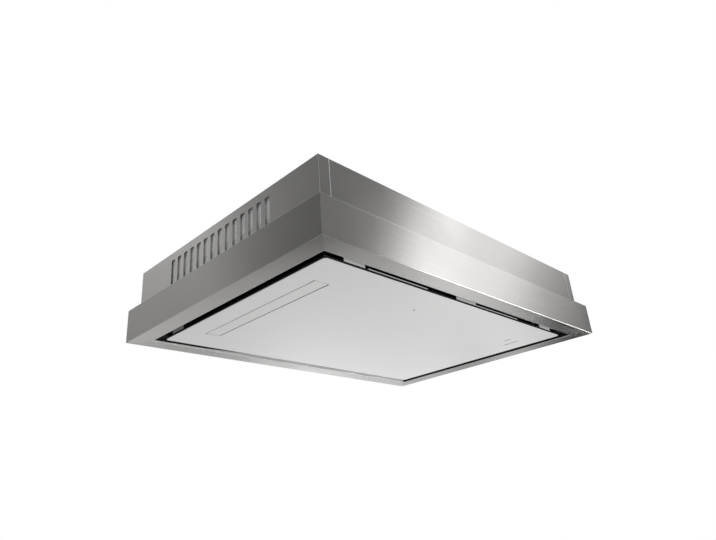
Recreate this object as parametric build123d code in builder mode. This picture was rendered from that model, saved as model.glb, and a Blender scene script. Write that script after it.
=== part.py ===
from build123d import *
import os

os.makedirs("parts", exist_ok=True)

# A ceiling range hood. X runs along its long side, Y along its short side, Z up.
# The origin is the middle of the ceiling plane, and the hood hangs below it.

# Overall form
rim_length = 1000.0
rim_width = 700.0
rim_height = 82.0
casing_drop = 96.0  # casing that shows between the ceiling and the rim
overhang = 20.0  # how far the rim stands out from the casing
steel = 1.2  # stainless sheet of the rim and casing
bend_radius = 1.8  # outside radius of their folds
flange_width = 45.0  # bottom flange of the rim
hem_height = 12.0  # upturned edge round the rim's opening
tuck = 10.0  # casing that goes down inside the rim
lip_gap = 0.4  # between the casing and the rim's lip
mitre_gap = 0.1

# Casing
return_width = 27.0  # end sheet that wraps round the corner
seam_gap = 0.6
slot_count = 14
slot_pitch = 27.5
slot_width = 15.5
slot_height = 66.0
slot_corner = 3.0
slot_top_drop = 19.0  # from the ceiling to the top of a slot
seam_strip_width = 30.0
seam_strip_sheet = 1.5
mesh_sheet = 0.8
mesh_recess = 2.0  # from the casing sheet back to the mesh
mesh_margin = 8.0  # mesh beyond the outer slots
mesh_hole_radius = 2.2
mesh_hole_pitch_y = 6.5
mesh_hole_pitch_z = 7.2
mesh_columns = 2
mesh_rows = 9

# Ceiling rails and hangers
fit_gap = 0.1
rail_sheet = 2.0
rail_leg = 30.0
rail_drop = 15.0
rail_fold = 3.0
anchor_radius = 4.5
anchor_spacing_x = 800.0
anchor_edge = 16.5  # from a rail's outer face to its anchor holes
hanger_width = 60.0
hanger_drop = 60.0
hanger_spacing = 600.0
hanger_bolt_spacing = 30.0
hanger_bolt_radius = 3.0
hanger_bolt_drop = 45.0
hanger_bolt_head_radius = 5.0
hanger_bolt_head = 4.0
rim_screw_radius = 1.9
rim_screw_head_radius = 4.0
rim_screw_head = 2.5
rim_screw_end = 2.0  # thread that stands past the lip
screw_clearance = 0.3
gusset_leg = 40.0
gusset_sheet = 2.0
gusset_height = 35.0
gusset_drop = 19.0  # below the rim's ledge

# Body and intake
ceiling_cavity = 30.0
body_inset = 15.0  # body wall inside the rim's opening
body_sheet = 1.0
body_flange = 26.0
gasket_thickness = 3.0
gasket_width = 10.0
channel_height = 21.0  # air channel between the panel's tray and the intake plate
plate_sheet = 1.0
plate_edge = 12.0
plate_fit = 0.2

# Panel
panel_gap = 21.0  # air gap round the panel
panel_recess = 1.0  # panel's face above the rim's face
panel_corner = 8.0
glass_thickness = 5.0
glass_bevel = 0.8
tray_sheet = 1.0
tray_inset = 0.5
tab_sheet = 1.2
tab_height = 17.0
tab_back_height = 12.0  # low enough to pass the intake plate as the panel swings
tab_foot = 12.0
tab_end = 76.0  # from the panel's end to an outer tab's middle
tab_width_outer = 56.0
tab_width_middle = 75.0
tab_side_end = 57.0  # from the panel's back edge to a side tab's middle
tab_side_width = 47.0
air_lip_width = 181.0
air_lip_centres = (-230.5, 128.5)
air_lip_sheet = 2.0
air_lip_depth = 20.0

# Light strip in the panel
light_end = 72.5  # from the panel's end to the strip's middle
light_width = 34.0
light_length = 388.0
light_gap = 1.6  # dark groove along each side of the diffuser
light_end_gap = 0.4
light_thickness = 4.8
light_corner = 2.0
light_seat = 4.0  # tray ledge that the diffuser is bonded to
channel_wall = 1.5
light_channel_height = 11.0
light_channel_margin = 4.0
board_thickness = 1.6
board_margin = 3.0
lamp_count = 18
lamp_pitch = 20.0
lamp_size = 3.0
lamp_height = 0.8

# Receiver windows in the panel
window_width = 5.0
long_window_end = 60.0  # from the panel's end
long_window_edge = 115.0  # from the panel's front edge
long_window_length = 46.0
short_window_end = 96.0
short_window_edge = 104.0
short_window_length = 24.0
eye_x = -79.0
eye_edge = 91.0
eye_radius = 3.0
window_fit = 0.1
window_recess = 0.2  # inserts above the glass's face
receiver_margin = 12.0
receiver_height = 12.0
eye_unit_size = 22.0
sensor_corner = 2.0

# Grease filters
filter_end = 104.5  # from the body's end to a filter
filter_edge = 72.0  # from the body's long side to a filter
filter_split = 19.0  # between the two filters
filter_gap = 2.0
filter_thickness = 9.0
filter_drop = 3.0  # frame that stands below the intake plate
filter_corner = 4.0
frame_border = 16.0
latch_border = 34.0
mesh_pad_inset = 3.5
hook_width = 30.0
hook_reach = 8.0
hook_sheet = 1.5
hook_spacing = 180.0
latch_width = 32.0
latch_length = 24.0
latch_reach = 7.0
latch_travel = 7.0
latch_sheet = 1.5
stem_width = 10.0
stem_length = 9.0
latch_pad_width = 20.0
latch_pad_length = 13.0
latch_pad_height = 2.6

# Blower
blower_x = 60.0
blower_y = -30.0
blower_height = 72.0
blower_wall = 2.5
scroll_radius = 112.0
scroll_step = 22.0
tongue_height = 50.0
tongue_radius = 10.0
outlet_reach = 190.0  # from the blower's axis to its outlet
inlet_radius = 88.0
mount_height = 5.0
mount_radius = 9.0
impeller_radius = 95.0
impeller_gap = 5.0  # under the impeller
impeller_height = 53.0
impeller_sheet = 2.0
blade_count = 36
blade_curve = 9.0  # radius of a blade's curve
blade_arc = 80.0
blade_sheet = 1.4
blade_angle = 20.0
end_ring_width = 14.0
rotor_radius = 46.0
rotor_wall = 3.0
rotor_height = 38.0
stator_gap = 2.0
motor_flange_radius = 34.0
shaft_radius = 5.0
shaft_clearance = 0.05
shaft_end = 6.0
rotor_top_gap = 7.0

# Carbon filter and its bayonet
inlet_ring_height = 8.0
inlet_ring_radius = 112.0
bayonet_count = 3
bayonet_angle = 20.0
bayonet_sheet = 2.0
bayonet_reach = 6.0
bayonet_gap = 0.1
cassette_radius = 122.0
cassette_wall = 3.0
cassette_floor = 2.0
cassette_gap = 4.0  # above the grease filters
charcoal_depth = 20.0
grip_height = 2.5
grip_width = 8.0
vent_radius = 8.5
vent_ring_radii = (30.0, 56.0, 82.0, 105.0)
vent_ring_counts = (6, 12, 18, 24)

# Outlet duct and backdraft flap
duct_wall = 1.5
duct_exit = 4.0  # duct beyond the body's wall
duct_flange = 10.0
duct_flange_sheet = 1.0
duct_fit = 0.5
duct_seam = 0.1  # between the duct's trough and its lid
flap_setback = 30.0
flap_sheet = 1.5
flap_side_gap = 1.0
flap_pin_radius = 1.5
flap_pin_clearance = 0.05
flap_top_gap = 2.5
seat_offset = 2.5
seat_sheet = 1.5
seat_width = 6.0

# Controls
control_end = 10.0  # from the body's end to the box
control_gap = 46.0  # from the scroll to the box
control_y = -40.0
control_width = 200.0
control_height = 89.0
control_wall = 2.0
control_lid_sheet = 2.0
control_corner = 6.0
post_radius = 4.0
post_height = 25.0
post_inset = 16.0
circuit_margin = 10.0
circuit_parts = (  # place as shares of the board, then width, length and height
    (-0.29, -0.31, 38.0, 46.0, 32.0),
    (0.12, -0.33, 60.0, 14.0, 16.0),
    (0.26, 0.11, 26.0, 34.0, 18.0),
    (-0.18, 0.22, 12.0, 12.0, 24.0),
    (-0.06, 0.06, 30.0, 18.0, 6.0),
)
driver_end = 45.0  # from the body's end to the driver's middle
driver_length = 60.0
driver_width = 160.0
driver_height = 22.0
driver_corner = 4.0
gland_end = 50.0  # from the body's end
gland_edge = 90.0  # from the body's long side
gland_bore = 4.5
gland_thread = 8.0
gland_hex = 12.0
gland_top = 18.0
gland_below = 14.0
gland_fit = 0.2

# Service switch in the intake plate
switch_end = 51.0  # from the body's end
switch_edge = 90.0  # from the body's long side
switch_bezel = 2.0
switch_bezel_width = 16.0
switch_bezel_length = 27.0
switch_body_width = 13.0
switch_body_length = 23.0
switch_depth = 18.0
switch_fit = 0.2
rocker_width = 10.0
rocker_half = 9.0
rocker_dish = 1.0
rocker_back = 2.0  # rocker above its axis
rocker_side_gap = 0.2
rocker_end_gap = 1.2
rocker_pivot_height = 3.0  # above the intake plate's underside
rocker_pin_radius = 1.2
rocker_pin_clearance = 0.05
rocker_tilt = 8.0

# Panel hinges and catches
hinge_end = 184.0  # from the panel's end
hinge_inset = 12.0  # hinge axis inside the panel's far edge
hinge_height = 6.0  # hinge axis above the tray
hinge_pin_radius = 2.0
hinge_pin_head_radius = 3.2
hinge_pin_head = 1.5
hinge_pin_clearance = 0.05
hinge_radius = 4.0
knuckle_width = 20.0
knuckle_gap = 0.3
ear_sheet = 4.0
bracket_foot = 18.0
bracket_sheet = 2.0
leaf_width = 40.0
leaf_length = 34.0
leaf_sheet = 1.5
catch_end = 84.0  # from the panel's end
catch_inset = 34.0
catch_radius = 8.0
catch_flange = 11.0
catch_flange_sheet = 2.0
catch_depth = 24.0
catch_wall = 3.0
catch_hole_gap = 0.2
plunger_radius = 4.0
plunger_clearance = 0.05
plunger_tip_radius = 6.0
plunger_tip = 4.0
plunger_travel = 4.0

# Levels and spans worked out from the sizes above
rim_top = -casing_drop
rim_bottom = rim_top - rim_height
casing_length = rim_length - 2 * overhang
casing_width = rim_width - 2 * overhang
casing_bottom = rim_top - tuck
opening_length = rim_length - 2 * flange_width
opening_width = rim_width - 2 * flange_width
panel_length = opening_length - 2 * panel_gap
panel_width = opening_width - 2 * panel_gap
panel_bottom = rim_bottom + panel_recess
glass_top = panel_bottom + glass_thickness
tray_top = glass_top + tray_sheet
tray_length = panel_length - 2 * tray_inset
tray_width = panel_width - 2 * tray_inset
gasket_bottom = rim_bottom + hem_height
body_bottom = gasket_bottom + gasket_thickness
body_top = -ceiling_cavity
body_ceiling = body_top - body_sheet
body_length = opening_length - 2 * body_inset
body_width = opening_width - 2 * body_inset
plate_bottom = tray_top + channel_height
plate_top = plate_bottom + plate_sheet
filter_bottom = plate_bottom - filter_drop
filter_top = filter_bottom + filter_thickness
filter_length = (body_length - 2 * filter_end - filter_split) / 2
filter_width = body_width - 2 * filter_edge
filter_spacing = filter_length + filter_split
filter_centre_x = filter_spacing / 2
blower_top = body_ceiling - mount_height
blower_bottom = blower_top - blower_height
blower_middle = (blower_top + blower_bottom) / 2
outlet_x = blower_x - outlet_reach
outlet_low_y = blower_y + tongue_height
outlet_high_y = blower_y + scroll_radius + 3 * scroll_step
control_start = blower_x + scroll_radius + scroll_step + control_gap
control_length = body_length / 2 - control_end - control_start
control_x = control_start + control_length / 2
circuit_length = control_length - 2 * circuit_margin
circuit_width = control_width - 2 * circuit_margin
driver_x = driver_end - body_length / 2
gland_x = body_length / 2 - gland_end
gland_y = gland_edge - body_width / 2
switch_x = body_length / 2 - switch_end
switch_y = body_width / 2 - switch_edge
hinge_x = panel_length / 2 - hinge_end
catch_x = panel_length / 2 - catch_end
light_x = light_end - panel_length / 2
tab_centre_x = panel_length / 2 - tab_end
tab_side_y = panel_width / 2 - tab_side_end
long_window_x = panel_length / 2 - long_window_end
long_window_y = long_window_edge - panel_width / 2
short_window_x = panel_length / 2 - short_window_end
short_window_y = short_window_edge - panel_width / 2
eye = (eye_x, eye_edge - panel_width / 2)

up = Vector(0, 0, 1)
front = Vector(0, -1, 0)
back = Vector(0, 1, 0)
left = Vector(-1, 0, 0)
right = Vector(1, 0, 0)
ends = {"left": left, "right": right}
long_sides = {"front": front, "back": back}


# A plane whose local x points out through a side and whose local y is up
def profile_plane(outward):
    return Plane(origin=(0, 0, 0), x_dir=outward, z_dir=outward.cross(up))


# A level plane whose local y points out through a side
def plan_plane(outward, height):
    return Plane(origin=(0, 0, height), x_dir=outward.cross(up), z_dir=up)


# An upright plane that faces out through a side, with local y up
def wall_plane(outward, distance, height):
    return Plane(origin=outward * distance + up * height, x_dir=up.cross(outward), z_dir=outward)


rim_sides = {
    "front": (front, rim_width / 2, rim_length, (-360.0, -120.0, 120.0, 360.0)),
    "back": (back, rim_width / 2, rim_length, (-360.0, -120.0, 120.0, 360.0)),
    "left": (left, rim_length / 2, rim_width, (-200.0, 200.0)),
    "right": (right, rim_length / 2, rim_width, (-200.0, 200.0)),
}
rim_screw_level = rim_top - tuck / 2
rim_screw_hole = rim_screw_radius + screw_clearance

# Lower rim: four folded sides, mitred at the corners
for side_name, (outward, half, length, screw_places) in rim_sides.items():
    with BuildPart() as rim_side:
        with BuildSketch(profile_plane(outward)):
            with BuildLine():
                FilletPolyline(
                    (half - overhang + lip_gap, casing_bottom),
                    (half - overhang + lip_gap, rim_top),
                    (half, rim_top),
                    (half, rim_bottom),
                    (half - flange_width, rim_bottom),
                    (half - flange_width, rim_bottom + hem_height),
                    radius=bend_radius,
                )
                offset(amount=steel, side=Side.RIGHT)
            make_face()
        extrude(amount=length / 2, both=True)
        with BuildSketch(plan_plane(outward, rim_bottom - steel)):
            corner = length / 2 - mitre_gap + steel
            Polygon(
                (-corner, half + steel),
                (corner, half + steel),
                (0, half + steel - corner),
                align=None,
            )
        extrude(amount=rim_height + 2 * steel, mode=Mode.INTERSECT)
        with BuildSketch(wall_plane(outward, half - overhang, rim_screw_level)):
            with Locations(*[(place, 0) for place in screw_places]):
                Circle(rim_screw_hole)
        extrude(amount=lip_gap + 2 * steel, mode=Mode.SUBTRACT)
    rim_side.part.label = f"rim_{side_name}"
    export_step(rim_side.part, f"parts/rim_{side_name}.step")

# Corner gussets inside the rim
with BuildPart() as rim_gussets:
    gusset_x = rim_length / 2 - steel - fit_gap
    gusset_y = rim_width / 2 - steel - fit_gap
    with BuildSketch(Plane.XY.offset(rim_top - gusset_drop - gusset_height)):
        with BuildLine():
            FilletPolyline(
                (gusset_x, gusset_y - gusset_leg),
                (gusset_x, gusset_y),
                (gusset_x - gusset_leg, gusset_y),
                radius=rail_fold,
            )
            offset(amount=gusset_sheet, side=Side.LEFT)
        make_face()
    extrude(amount=gusset_height)
    mirror(about=Plane.XZ)
    mirror(about=Plane.YZ)
rim_gussets.part.label = "rim_gussets"
export_step(rim_gussets.part, "parts/rim_gussets.step")

# Casing ends: slotted sheets that wrap round the corners
slot_middle = -slot_top_drop - slot_height / 2
for end_name, outward in ends.items():
    with BuildPart() as casing_end:
        with BuildSketch(plan_plane(outward, casing_bottom)):
            with BuildLine():
                FilletPolyline(
                    (-casing_width / 2, casing_length / 2 - return_width),
                    (-casing_width / 2, casing_length / 2),
                    (casing_width / 2, casing_length / 2),
                    (casing_width / 2, casing_length / 2 - return_width),
                    radius=bend_radius,
                )
                offset(amount=steel, side=Side.RIGHT)
            make_face()
        extrude(amount=-casing_bottom)
        with BuildSketch(wall_plane(outward, casing_length / 2 - 2 * steel, slot_middle)):
            with GridLocations(slot_pitch, slot_height, slot_count, 1):
                RectangleRounded(slot_width, slot_height, slot_corner)
        extrude(amount=3 * steel, mode=Mode.SUBTRACT)
        with BuildSketch(wall_plane(outward, casing_length / 2 - 2 * steel, rim_screw_level)):
            with Locations(*[(place, 0) for place in rim_sides[end_name][3]]):
                Circle(rim_screw_hole)
        extrude(amount=3 * steel, mode=Mode.SUBTRACT)
    casing_end.part.label = f"casing_{end_name}"
    export_step(casing_end.part, f"parts/casing_{end_name}.step")

# Casing front and back: plain sheets between the wrapped ends
cover_length = casing_length - 2 * return_width - 2 * seam_gap
for side_name, outward in long_sides.items():
    with BuildPart() as casing_cover:
        with BuildSketch(wall_plane(outward, casing_width / 2 - steel, casing_bottom / 2)):
            Rectangle(cover_length, -casing_bottom)
            hole_level = rim_screw_level - casing_bottom / 2
            with Locations(*[(place, hole_level) for place in rim_sides[side_name][3]]):
                Circle(rim_screw_hole, mode=Mode.SUBTRACT)
        extrude(amount=steel)
    casing_cover.part.label = f"casing_{side_name}"
    export_step(casing_cover.part, f"parts/casing_{side_name}.step")

# Strips behind the four casing seams
with BuildPart() as seam_strips:
    strip_low = casing_bottom + steel
    strip_height = -rail_drop - 2 * fit_gap - strip_low
    strip_x = casing_length / 2 - return_width
    strip_y = casing_width / 2 - steel - seam_strip_sheet / 2
    with BuildSketch(Plane.XY.offset(strip_low)):
        with GridLocations(2 * strip_x, 2 * strip_y, 2, 2):
            Rectangle(seam_strip_width, seam_strip_sheet)
    extrude(amount=strip_height)
seam_strips.part.label = "seam_strips"
export_step(seam_strips.part, "parts/seam_strips.step")

# Perforated mesh behind each row of slots, a shallow tray with its edge against the casing
mesh_length = (slot_count - 1) * slot_pitch + slot_width + 2 * mesh_margin
mesh_top = -rail_drop - 2 * fit_gap
mesh_bottom = -slot_top_drop - slot_height - mesh_margin
for end_name, outward in ends.items():
    with BuildPart() as outlet_mesh:
        mesh_face = casing_length / 2 - steel - mesh_recess - mesh_sheet
        with BuildSketch(wall_plane(outward, mesh_face, (mesh_top + mesh_bottom) / 2)):
            Rectangle(mesh_length, mesh_top - mesh_bottom)
        extrude(amount=mesh_sheet + mesh_recess)
        with BuildSketch(wall_plane(outward, mesh_face + mesh_sheet, (mesh_top + mesh_bottom) / 2)):
            Rectangle(mesh_length - 2 * mesh_sheet, mesh_top - mesh_bottom - 2 * mesh_sheet)
        extrude(amount=mesh_recess, mode=Mode.SUBTRACT)
        with BuildSketch(wall_plane(outward, mesh_face, slot_middle)):
            with GridLocations(slot_pitch, slot_height, slot_count, 1):
                with GridLocations(mesh_hole_pitch_y, mesh_hole_pitch_z, mesh_columns, mesh_rows):
                    Circle(mesh_hole_radius)
        extrude(amount=mesh_sheet, mode=Mode.SUBTRACT)
    outlet_mesh.part.label = f"outlet_mesh_{end_name}"
    export_step(outlet_mesh.part, f"parts/outlet_mesh_{end_name}.step")

# Ceiling rails: long ones with the anchor holes, short ones butted between them
rail_outer_y = casing_width / 2 - steel - fit_gap
rail_outer_x = casing_length / 2 - steel - fit_gap
anchor_spacing_y = 2 * (rail_outer_y - anchor_edge)
short_rail_length = 2 * (rail_outer_y - rail_leg - fit_gap)
rails = {
    "front": (front, rail_outer_y, 2 * (rail_outer_x - bend_radius)),
    "back": (back, rail_outer_y, 2 * (rail_outer_x - bend_radius)),
    "left": (left, rail_outer_x, short_rail_length),
    "right": (right, rail_outer_x, short_rail_length),
}
for side_name, (outward, outer, length) in rails.items():
    with BuildPart() as rail:
        with BuildSketch(profile_plane(outward)):
            with BuildLine():
                FilletPolyline(
                    (outer, -rail_drop),
                    (outer, 0),
                    (outer - rail_leg, 0),
                    radius=rail_fold,
                )
                offset(amount=rail_sheet, side=Side.LEFT)
            make_face()
        extrude(amount=length / 2, both=True)
        if side_name in long_sides:
            with BuildSketch(Plane.XY.offset(-rail_sheet)):
                with GridLocations(anchor_spacing_x, anchor_spacing_y, 2, 2):
                    Circle(anchor_radius)
            extrude(amount=rail_sheet, mode=Mode.SUBTRACT)
    rail.part.label = f"ceiling_rail_{side_name}"
    export_step(rail.part, f"parts/ceiling_rail_{side_name}.step")

# Brackets that hang the body from the long rails
hanger_bolt_hole = hanger_bolt_radius + screw_clearance
with BuildPart() as hanger_brackets:
    with BuildSketch(profile_plane(back)):
        with BuildLine():
            FilletPolyline(
                (rail_outer_y - rail_fold - fit_gap, -rail_sheet),
                (body_width / 2, -rail_sheet),
                (body_width / 2, -hanger_drop),
                radius=bend_radius,
            )
            offset(amount=rail_sheet, side=Side.LEFT)
        make_face()
    extrude(amount=hanger_width / 2, both=True)
    with BuildSketch(wall_plane(back, body_width / 2, -hanger_bolt_drop)):
        with GridLocations(hanger_bolt_spacing, hanger_bolt_spacing, 2, 1):
            Circle(hanger_bolt_hole)
    extrude(amount=rail_sheet, mode=Mode.SUBTRACT)
hanger = hanger_brackets.part
with BuildPart() as hanger_brackets:
    with Locations((-hanger_spacing / 2, 0), (hanger_spacing / 2, 0)):
        add(hanger)
    mirror(about=Plane.XZ)
hanger_brackets.part.label = "hanger_brackets"
export_step(hanger_brackets.part, "parts/hanger_brackets.step")

# Screws through the rim's lip and casing, and bolts through the hangers
with BuildPart() as screws:
    for side_name, (outward, half, length, screw_places) in rim_sides.items():
        head_face = half - overhang - steel
        with BuildSketch(wall_plane(outward, head_face - rim_screw_head, rim_screw_level)):
            with Locations(*[(place, 0) for place in screw_places]):
                Circle(rim_screw_head_radius)
        extrude(amount=rim_screw_head)
        with BuildSketch(wall_plane(outward, head_face, rim_screw_level)):
            with Locations(*[(place, 0) for place in screw_places]):
                Circle(rim_screw_radius)
        extrude(amount=lip_gap + 2 * steel + rim_screw_end)
    for outward in long_sides.values():
        for hanger_x in (-hanger_spacing / 2, hanger_spacing / 2):
            with BuildSketch(wall_plane(outward, body_width / 2 + rail_sheet, -hanger_bolt_drop)):
                with Locations((hanger_x, 0)):
                    with GridLocations(hanger_bolt_spacing, hanger_bolt_spacing, 2, 1):
                        RegularPolygon(hanger_bolt_head_radius, 6)
            extrude(amount=hanger_bolt_head)
            bolt_end = body_width / 2 - body_sheet - hanger_bolt_head
            with BuildSketch(wall_plane(outward, bolt_end, -hanger_bolt_drop)):
                with Locations((hanger_x, 0)):
                    with GridLocations(hanger_bolt_spacing, hanger_bolt_spacing, 2, 1):
                        Circle(hanger_bolt_radius)
            extrude(amount=rail_sheet + body_sheet + hanger_bolt_head)
screws.part.label = "screws"
export_step(screws.part, "parts/screws.step")

# Body shell: four walls of folded sheet with flanges that sit on the gasket, and a roof
duct_middle_y = (outlet_low_y + outlet_high_y) / 2
duct_width = outlet_high_y - outlet_low_y
wall_top = body_ceiling - fit_gap
body_sides = (
    (front, body_width / 2, body_length),
    (back, body_width / 2, body_length),
    (left, body_length / 2, body_width),
    (right, body_length / 2, body_width),
)
body_walls = []
for outward, half, length in body_sides:
    with BuildPart() as body_wall:
        with BuildSketch(profile_plane(outward)):
            Polygon(
                (half - body_sheet, body_bottom),
                (half + body_flange, body_bottom),
                (half + body_flange, body_bottom + body_sheet),
                (half, body_bottom + body_sheet),
                (half, wall_top),
                (half - body_sheet, wall_top),
                align=None,
            )
        extrude(amount=length / 2 + body_flange, both=True)
        with BuildSketch(plan_plane(outward, body_bottom)):
            wall_corner = length / 2 + body_flange - mitre_gap
            Polygon(
                (-wall_corner, half + body_flange),
                (wall_corner, half + body_flange),
                (0, half + body_flange - wall_corner),
                align=None,
            )
        extrude(amount=wall_top - body_bottom, mode=Mode.INTERSECT)
    body_walls.append(body_wall.part)
with BuildPart() as body_shell:
    add(body_walls)
    with BuildSketch(wall_plane(left, body_length / 2 - body_sheet, blower_middle)):
        with Locations((-duct_middle_y, 0)):
            Rectangle(duct_width + 2 * duct_fit, blower_height + 2 * duct_fit)
    extrude(amount=body_sheet, mode=Mode.SUBTRACT)
    for outward in long_sides.values():
        for hanger_x in (-hanger_spacing / 2, hanger_spacing / 2):
            with BuildSketch(wall_plane(outward, body_width / 2 - body_sheet, -hanger_bolt_drop)):
                with Locations((hanger_x, 0)):
                    with GridLocations(hanger_bolt_spacing, hanger_bolt_spacing, 2, 1):
                        Circle(hanger_bolt_hole)
            extrude(amount=body_sheet, mode=Mode.SUBTRACT)
    with BuildSketch(Plane.XY.offset(body_ceiling)):
        Rectangle(body_length, body_width)
        with Locations((gland_x, gland_y)):
            Circle(gland_thread + gland_fit, mode=Mode.SUBTRACT)
    extrude(amount=body_sheet)
body_shell.part.label = "body_shell"
export_step(body_shell.part, "parts/body_shell.step")

# Foam gasket between the rim's hem and the body's flange
with BuildPart() as intake_gasket:
    with BuildSketch(Plane.XY.offset(gasket_bottom)):
        Rectangle(opening_length + 2 * gasket_width, opening_width + 2 * gasket_width)
        Rectangle(opening_length, opening_width, mode=Mode.SUBTRACT)
    extrude(amount=gasket_thickness)
intake_gasket.part.label = "intake_gasket"
export_step(intake_gasket.part, "parts/intake_gasket.step")

# Intake plate: a shallow tray inside the body, with holes for filters, catches and switch
plate_length = body_length - 2 * body_sheet - 2 * plate_fit
plate_width = body_width - 2 * body_sheet - 2 * plate_fit
catch_y = panel_width / 2 - catch_inset
with BuildPart() as intake_plate:
    with BuildSketch(Plane.XY.offset(plate_bottom)):
        Rectangle(plate_length, plate_width)
    extrude(amount=plate_edge)
    with BuildSketch(Plane.XY.offset(plate_top)):
        Rectangle(plate_length - 2 * plate_sheet, plate_width - 2 * plate_sheet)
    extrude(amount=plate_edge, mode=Mode.SUBTRACT)
    with BuildSketch(Plane.XY.offset(plate_bottom)):
        with GridLocations(filter_spacing, filter_width, 2, 1):
            Rectangle(filter_length + 2 * filter_gap, filter_width + 2 * filter_gap)
        with Locations((-catch_x, -catch_y), (catch_x, -catch_y)):
            Circle(catch_radius + catch_hole_gap)
        with Locations((switch_x, switch_y)):
            Rectangle(switch_body_width + 2 * switch_fit, switch_body_length + 2 * switch_fit)
    extrude(amount=plate_sheet, mode=Mode.SUBTRACT)
intake_plate.part.label = "intake_plate"
export_step(intake_plate.part, "parts/intake_plate.step")

# Grease filters: a frame with hooks, a mesh pad and a sliding latch
latch_edge = -filter_width / 2 - latch_reach
latch_middle = latch_edge + latch_length / 2
stem_edge = latch_middle - stem_length / 2
window_length = stem_length + latch_travel + 2 * filter_gap
pad_width_x = filter_length - 2 * frame_border
pad_width_y = filter_width - frame_border - latch_border
pad_middle = (latch_border - frame_border) / 2
latch_bottom = plate_top + fit_gap
for side_name, filter_x in {"left": -filter_centre_x, "right": filter_centre_x}.items():
    with BuildPart() as filter_frame:
        with BuildSketch(Plane.XY.offset(filter_bottom)):
            with Locations((filter_x, 0)):
                RectangleRounded(filter_length, filter_width, filter_corner)
            with Locations((filter_x, pad_middle)):
                Rectangle(pad_width_x, pad_width_y, mode=Mode.SUBTRACT)
        extrude(amount=filter_thickness)
        with BuildSketch(Plane.XY.offset(plate_top)):
            with Locations((filter_x, filter_width / 2)):
                with GridLocations(hook_spacing, hook_reach, 2, 1):
                    Rectangle(hook_width, 2 * hook_reach)
        extrude(amount=hook_sheet)
        with BuildSketch(Plane.XY.offset(latch_bottom - fit_gap)):
            with Locations((filter_x, latch_edge)):
                slot_reach = latch_length + latch_travel + 2 * fit_gap
                Rectangle(latch_width + 2 * fit_gap, slot_reach, align=(Align.CENTER, Align.MIN))
        extrude(amount=latch_sheet + 2 * fit_gap, mode=Mode.SUBTRACT)
        with BuildSketch(Plane.XY.offset(filter_bottom)):
            with Locations((filter_x, stem_edge - filter_gap)):
                Rectangle(stem_width + filter_gap, window_length, align=(Align.CENTER, Align.MIN))
        extrude(amount=latch_bottom - filter_bottom, mode=Mode.SUBTRACT)
    filter_frame.part.label = f"filter_frame_{side_name}"
    export_step(filter_frame.part, f"parts/filter_frame_{side_name}.step")

    with BuildPart() as filter_mesh:
        with BuildSketch(Plane.XY.offset(filter_bottom + mesh_pad_inset)):
            with Locations((filter_x, pad_middle)):
                Rectangle(pad_width_x, pad_width_y)
        extrude(amount=filter_thickness - 2 * mesh_pad_inset)
    filter_mesh.part.label = f"filter_mesh_{side_name}"
    export_step(filter_mesh.part, f"parts/filter_mesh_{side_name}.step")

    with BuildPart() as filter_latch:
        with BuildSketch(Plane.XY.offset(latch_bottom)):
            with Locations((filter_x, latch_middle)):
                Rectangle(latch_width, latch_length)
        extrude(amount=latch_sheet)
        with BuildSketch(Plane.XY.offset(filter_bottom - 2 * fit_gap)):
            with Locations((filter_x, latch_middle)):
                Rectangle(stem_width, stem_length)
        extrude(amount=latch_bottom - filter_bottom + 2 * fit_gap)
        with BuildSketch(Plane.XY.offset(filter_bottom - 2 * fit_gap)):
            with Locations((filter_x, latch_middle)):
                RectangleRounded(latch_pad_width, latch_pad_length, filter_corner)
        extrude(amount=-latch_pad_height)
    filter_latch.part.label = f"filter_latch_{side_name}"
    export_step(filter_latch.part, f"parts/filter_latch_{side_name}.step")


# Outline of the blower scroll: three quarter arcs that step outwards, then the outlet.
# inset draws it that much inside, and reach lengthens the outlet.
def scroll_face(inset, reach):
    exit_x = outlet_x - reach
    low_y = outlet_low_y + inset
    inner = scroll_radius - inset
    last_x = blower_x - scroll_step
    last_y = blower_y + scroll_step
    top_y = last_y + inner + 2 * scroll_step
    with BuildSketch() as scroll:
        with BuildLine():
            FilletPolyline(
                (exit_x, low_y),
                (blower_x - inner, low_y),
                (blower_x - inner, blower_y),
                radius=tongue_radius + inset,
            )
            CenterArc((blower_x, blower_y), inner, 180, 90)
            CenterArc((blower_x, last_y), inner + scroll_step, 270, 90)
            CenterArc((last_x, last_y), inner + 2 * scroll_step, 0, 90)
            Polyline((last_x, top_y), (exit_x, top_y), (exit_x, low_y))
        make_face()
    return scroll.sketch


# Blower scroll in two halves
with BuildPart() as volute_lower:
    with BuildSketch(Plane.XY.offset(blower_bottom)):
        add(scroll_face(0, 0))
    extrude(amount=blower_height / 2)
    with BuildSketch(Plane.XY.offset(blower_bottom + blower_wall)):
        add(scroll_face(blower_wall, blower_wall))
    extrude(amount=blower_height / 2, mode=Mode.SUBTRACT)
    with BuildSketch(Plane.XY.offset(blower_bottom)):
        with Locations((blower_x, blower_y)):
            Circle(inlet_radius)
    extrude(amount=blower_wall, mode=Mode.SUBTRACT)
volute_lower.part.label = "volute_lower"
export_step(volute_lower.part, "parts/volute_lower.step")

with BuildPart() as volute_upper:
    with BuildSketch(Plane.XY.offset(blower_middle)):
        add(scroll_face(0, 0))
    extrude(amount=blower_height / 2)
    with BuildSketch(Plane.XY.offset(blower_middle)):
        add(scroll_face(blower_wall, blower_wall))
    extrude(amount=blower_height / 2 - blower_wall, mode=Mode.SUBTRACT)
volute_upper.part.label = "volute_upper"
export_step(volute_upper.part, "parts/volute_upper.step")

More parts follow.
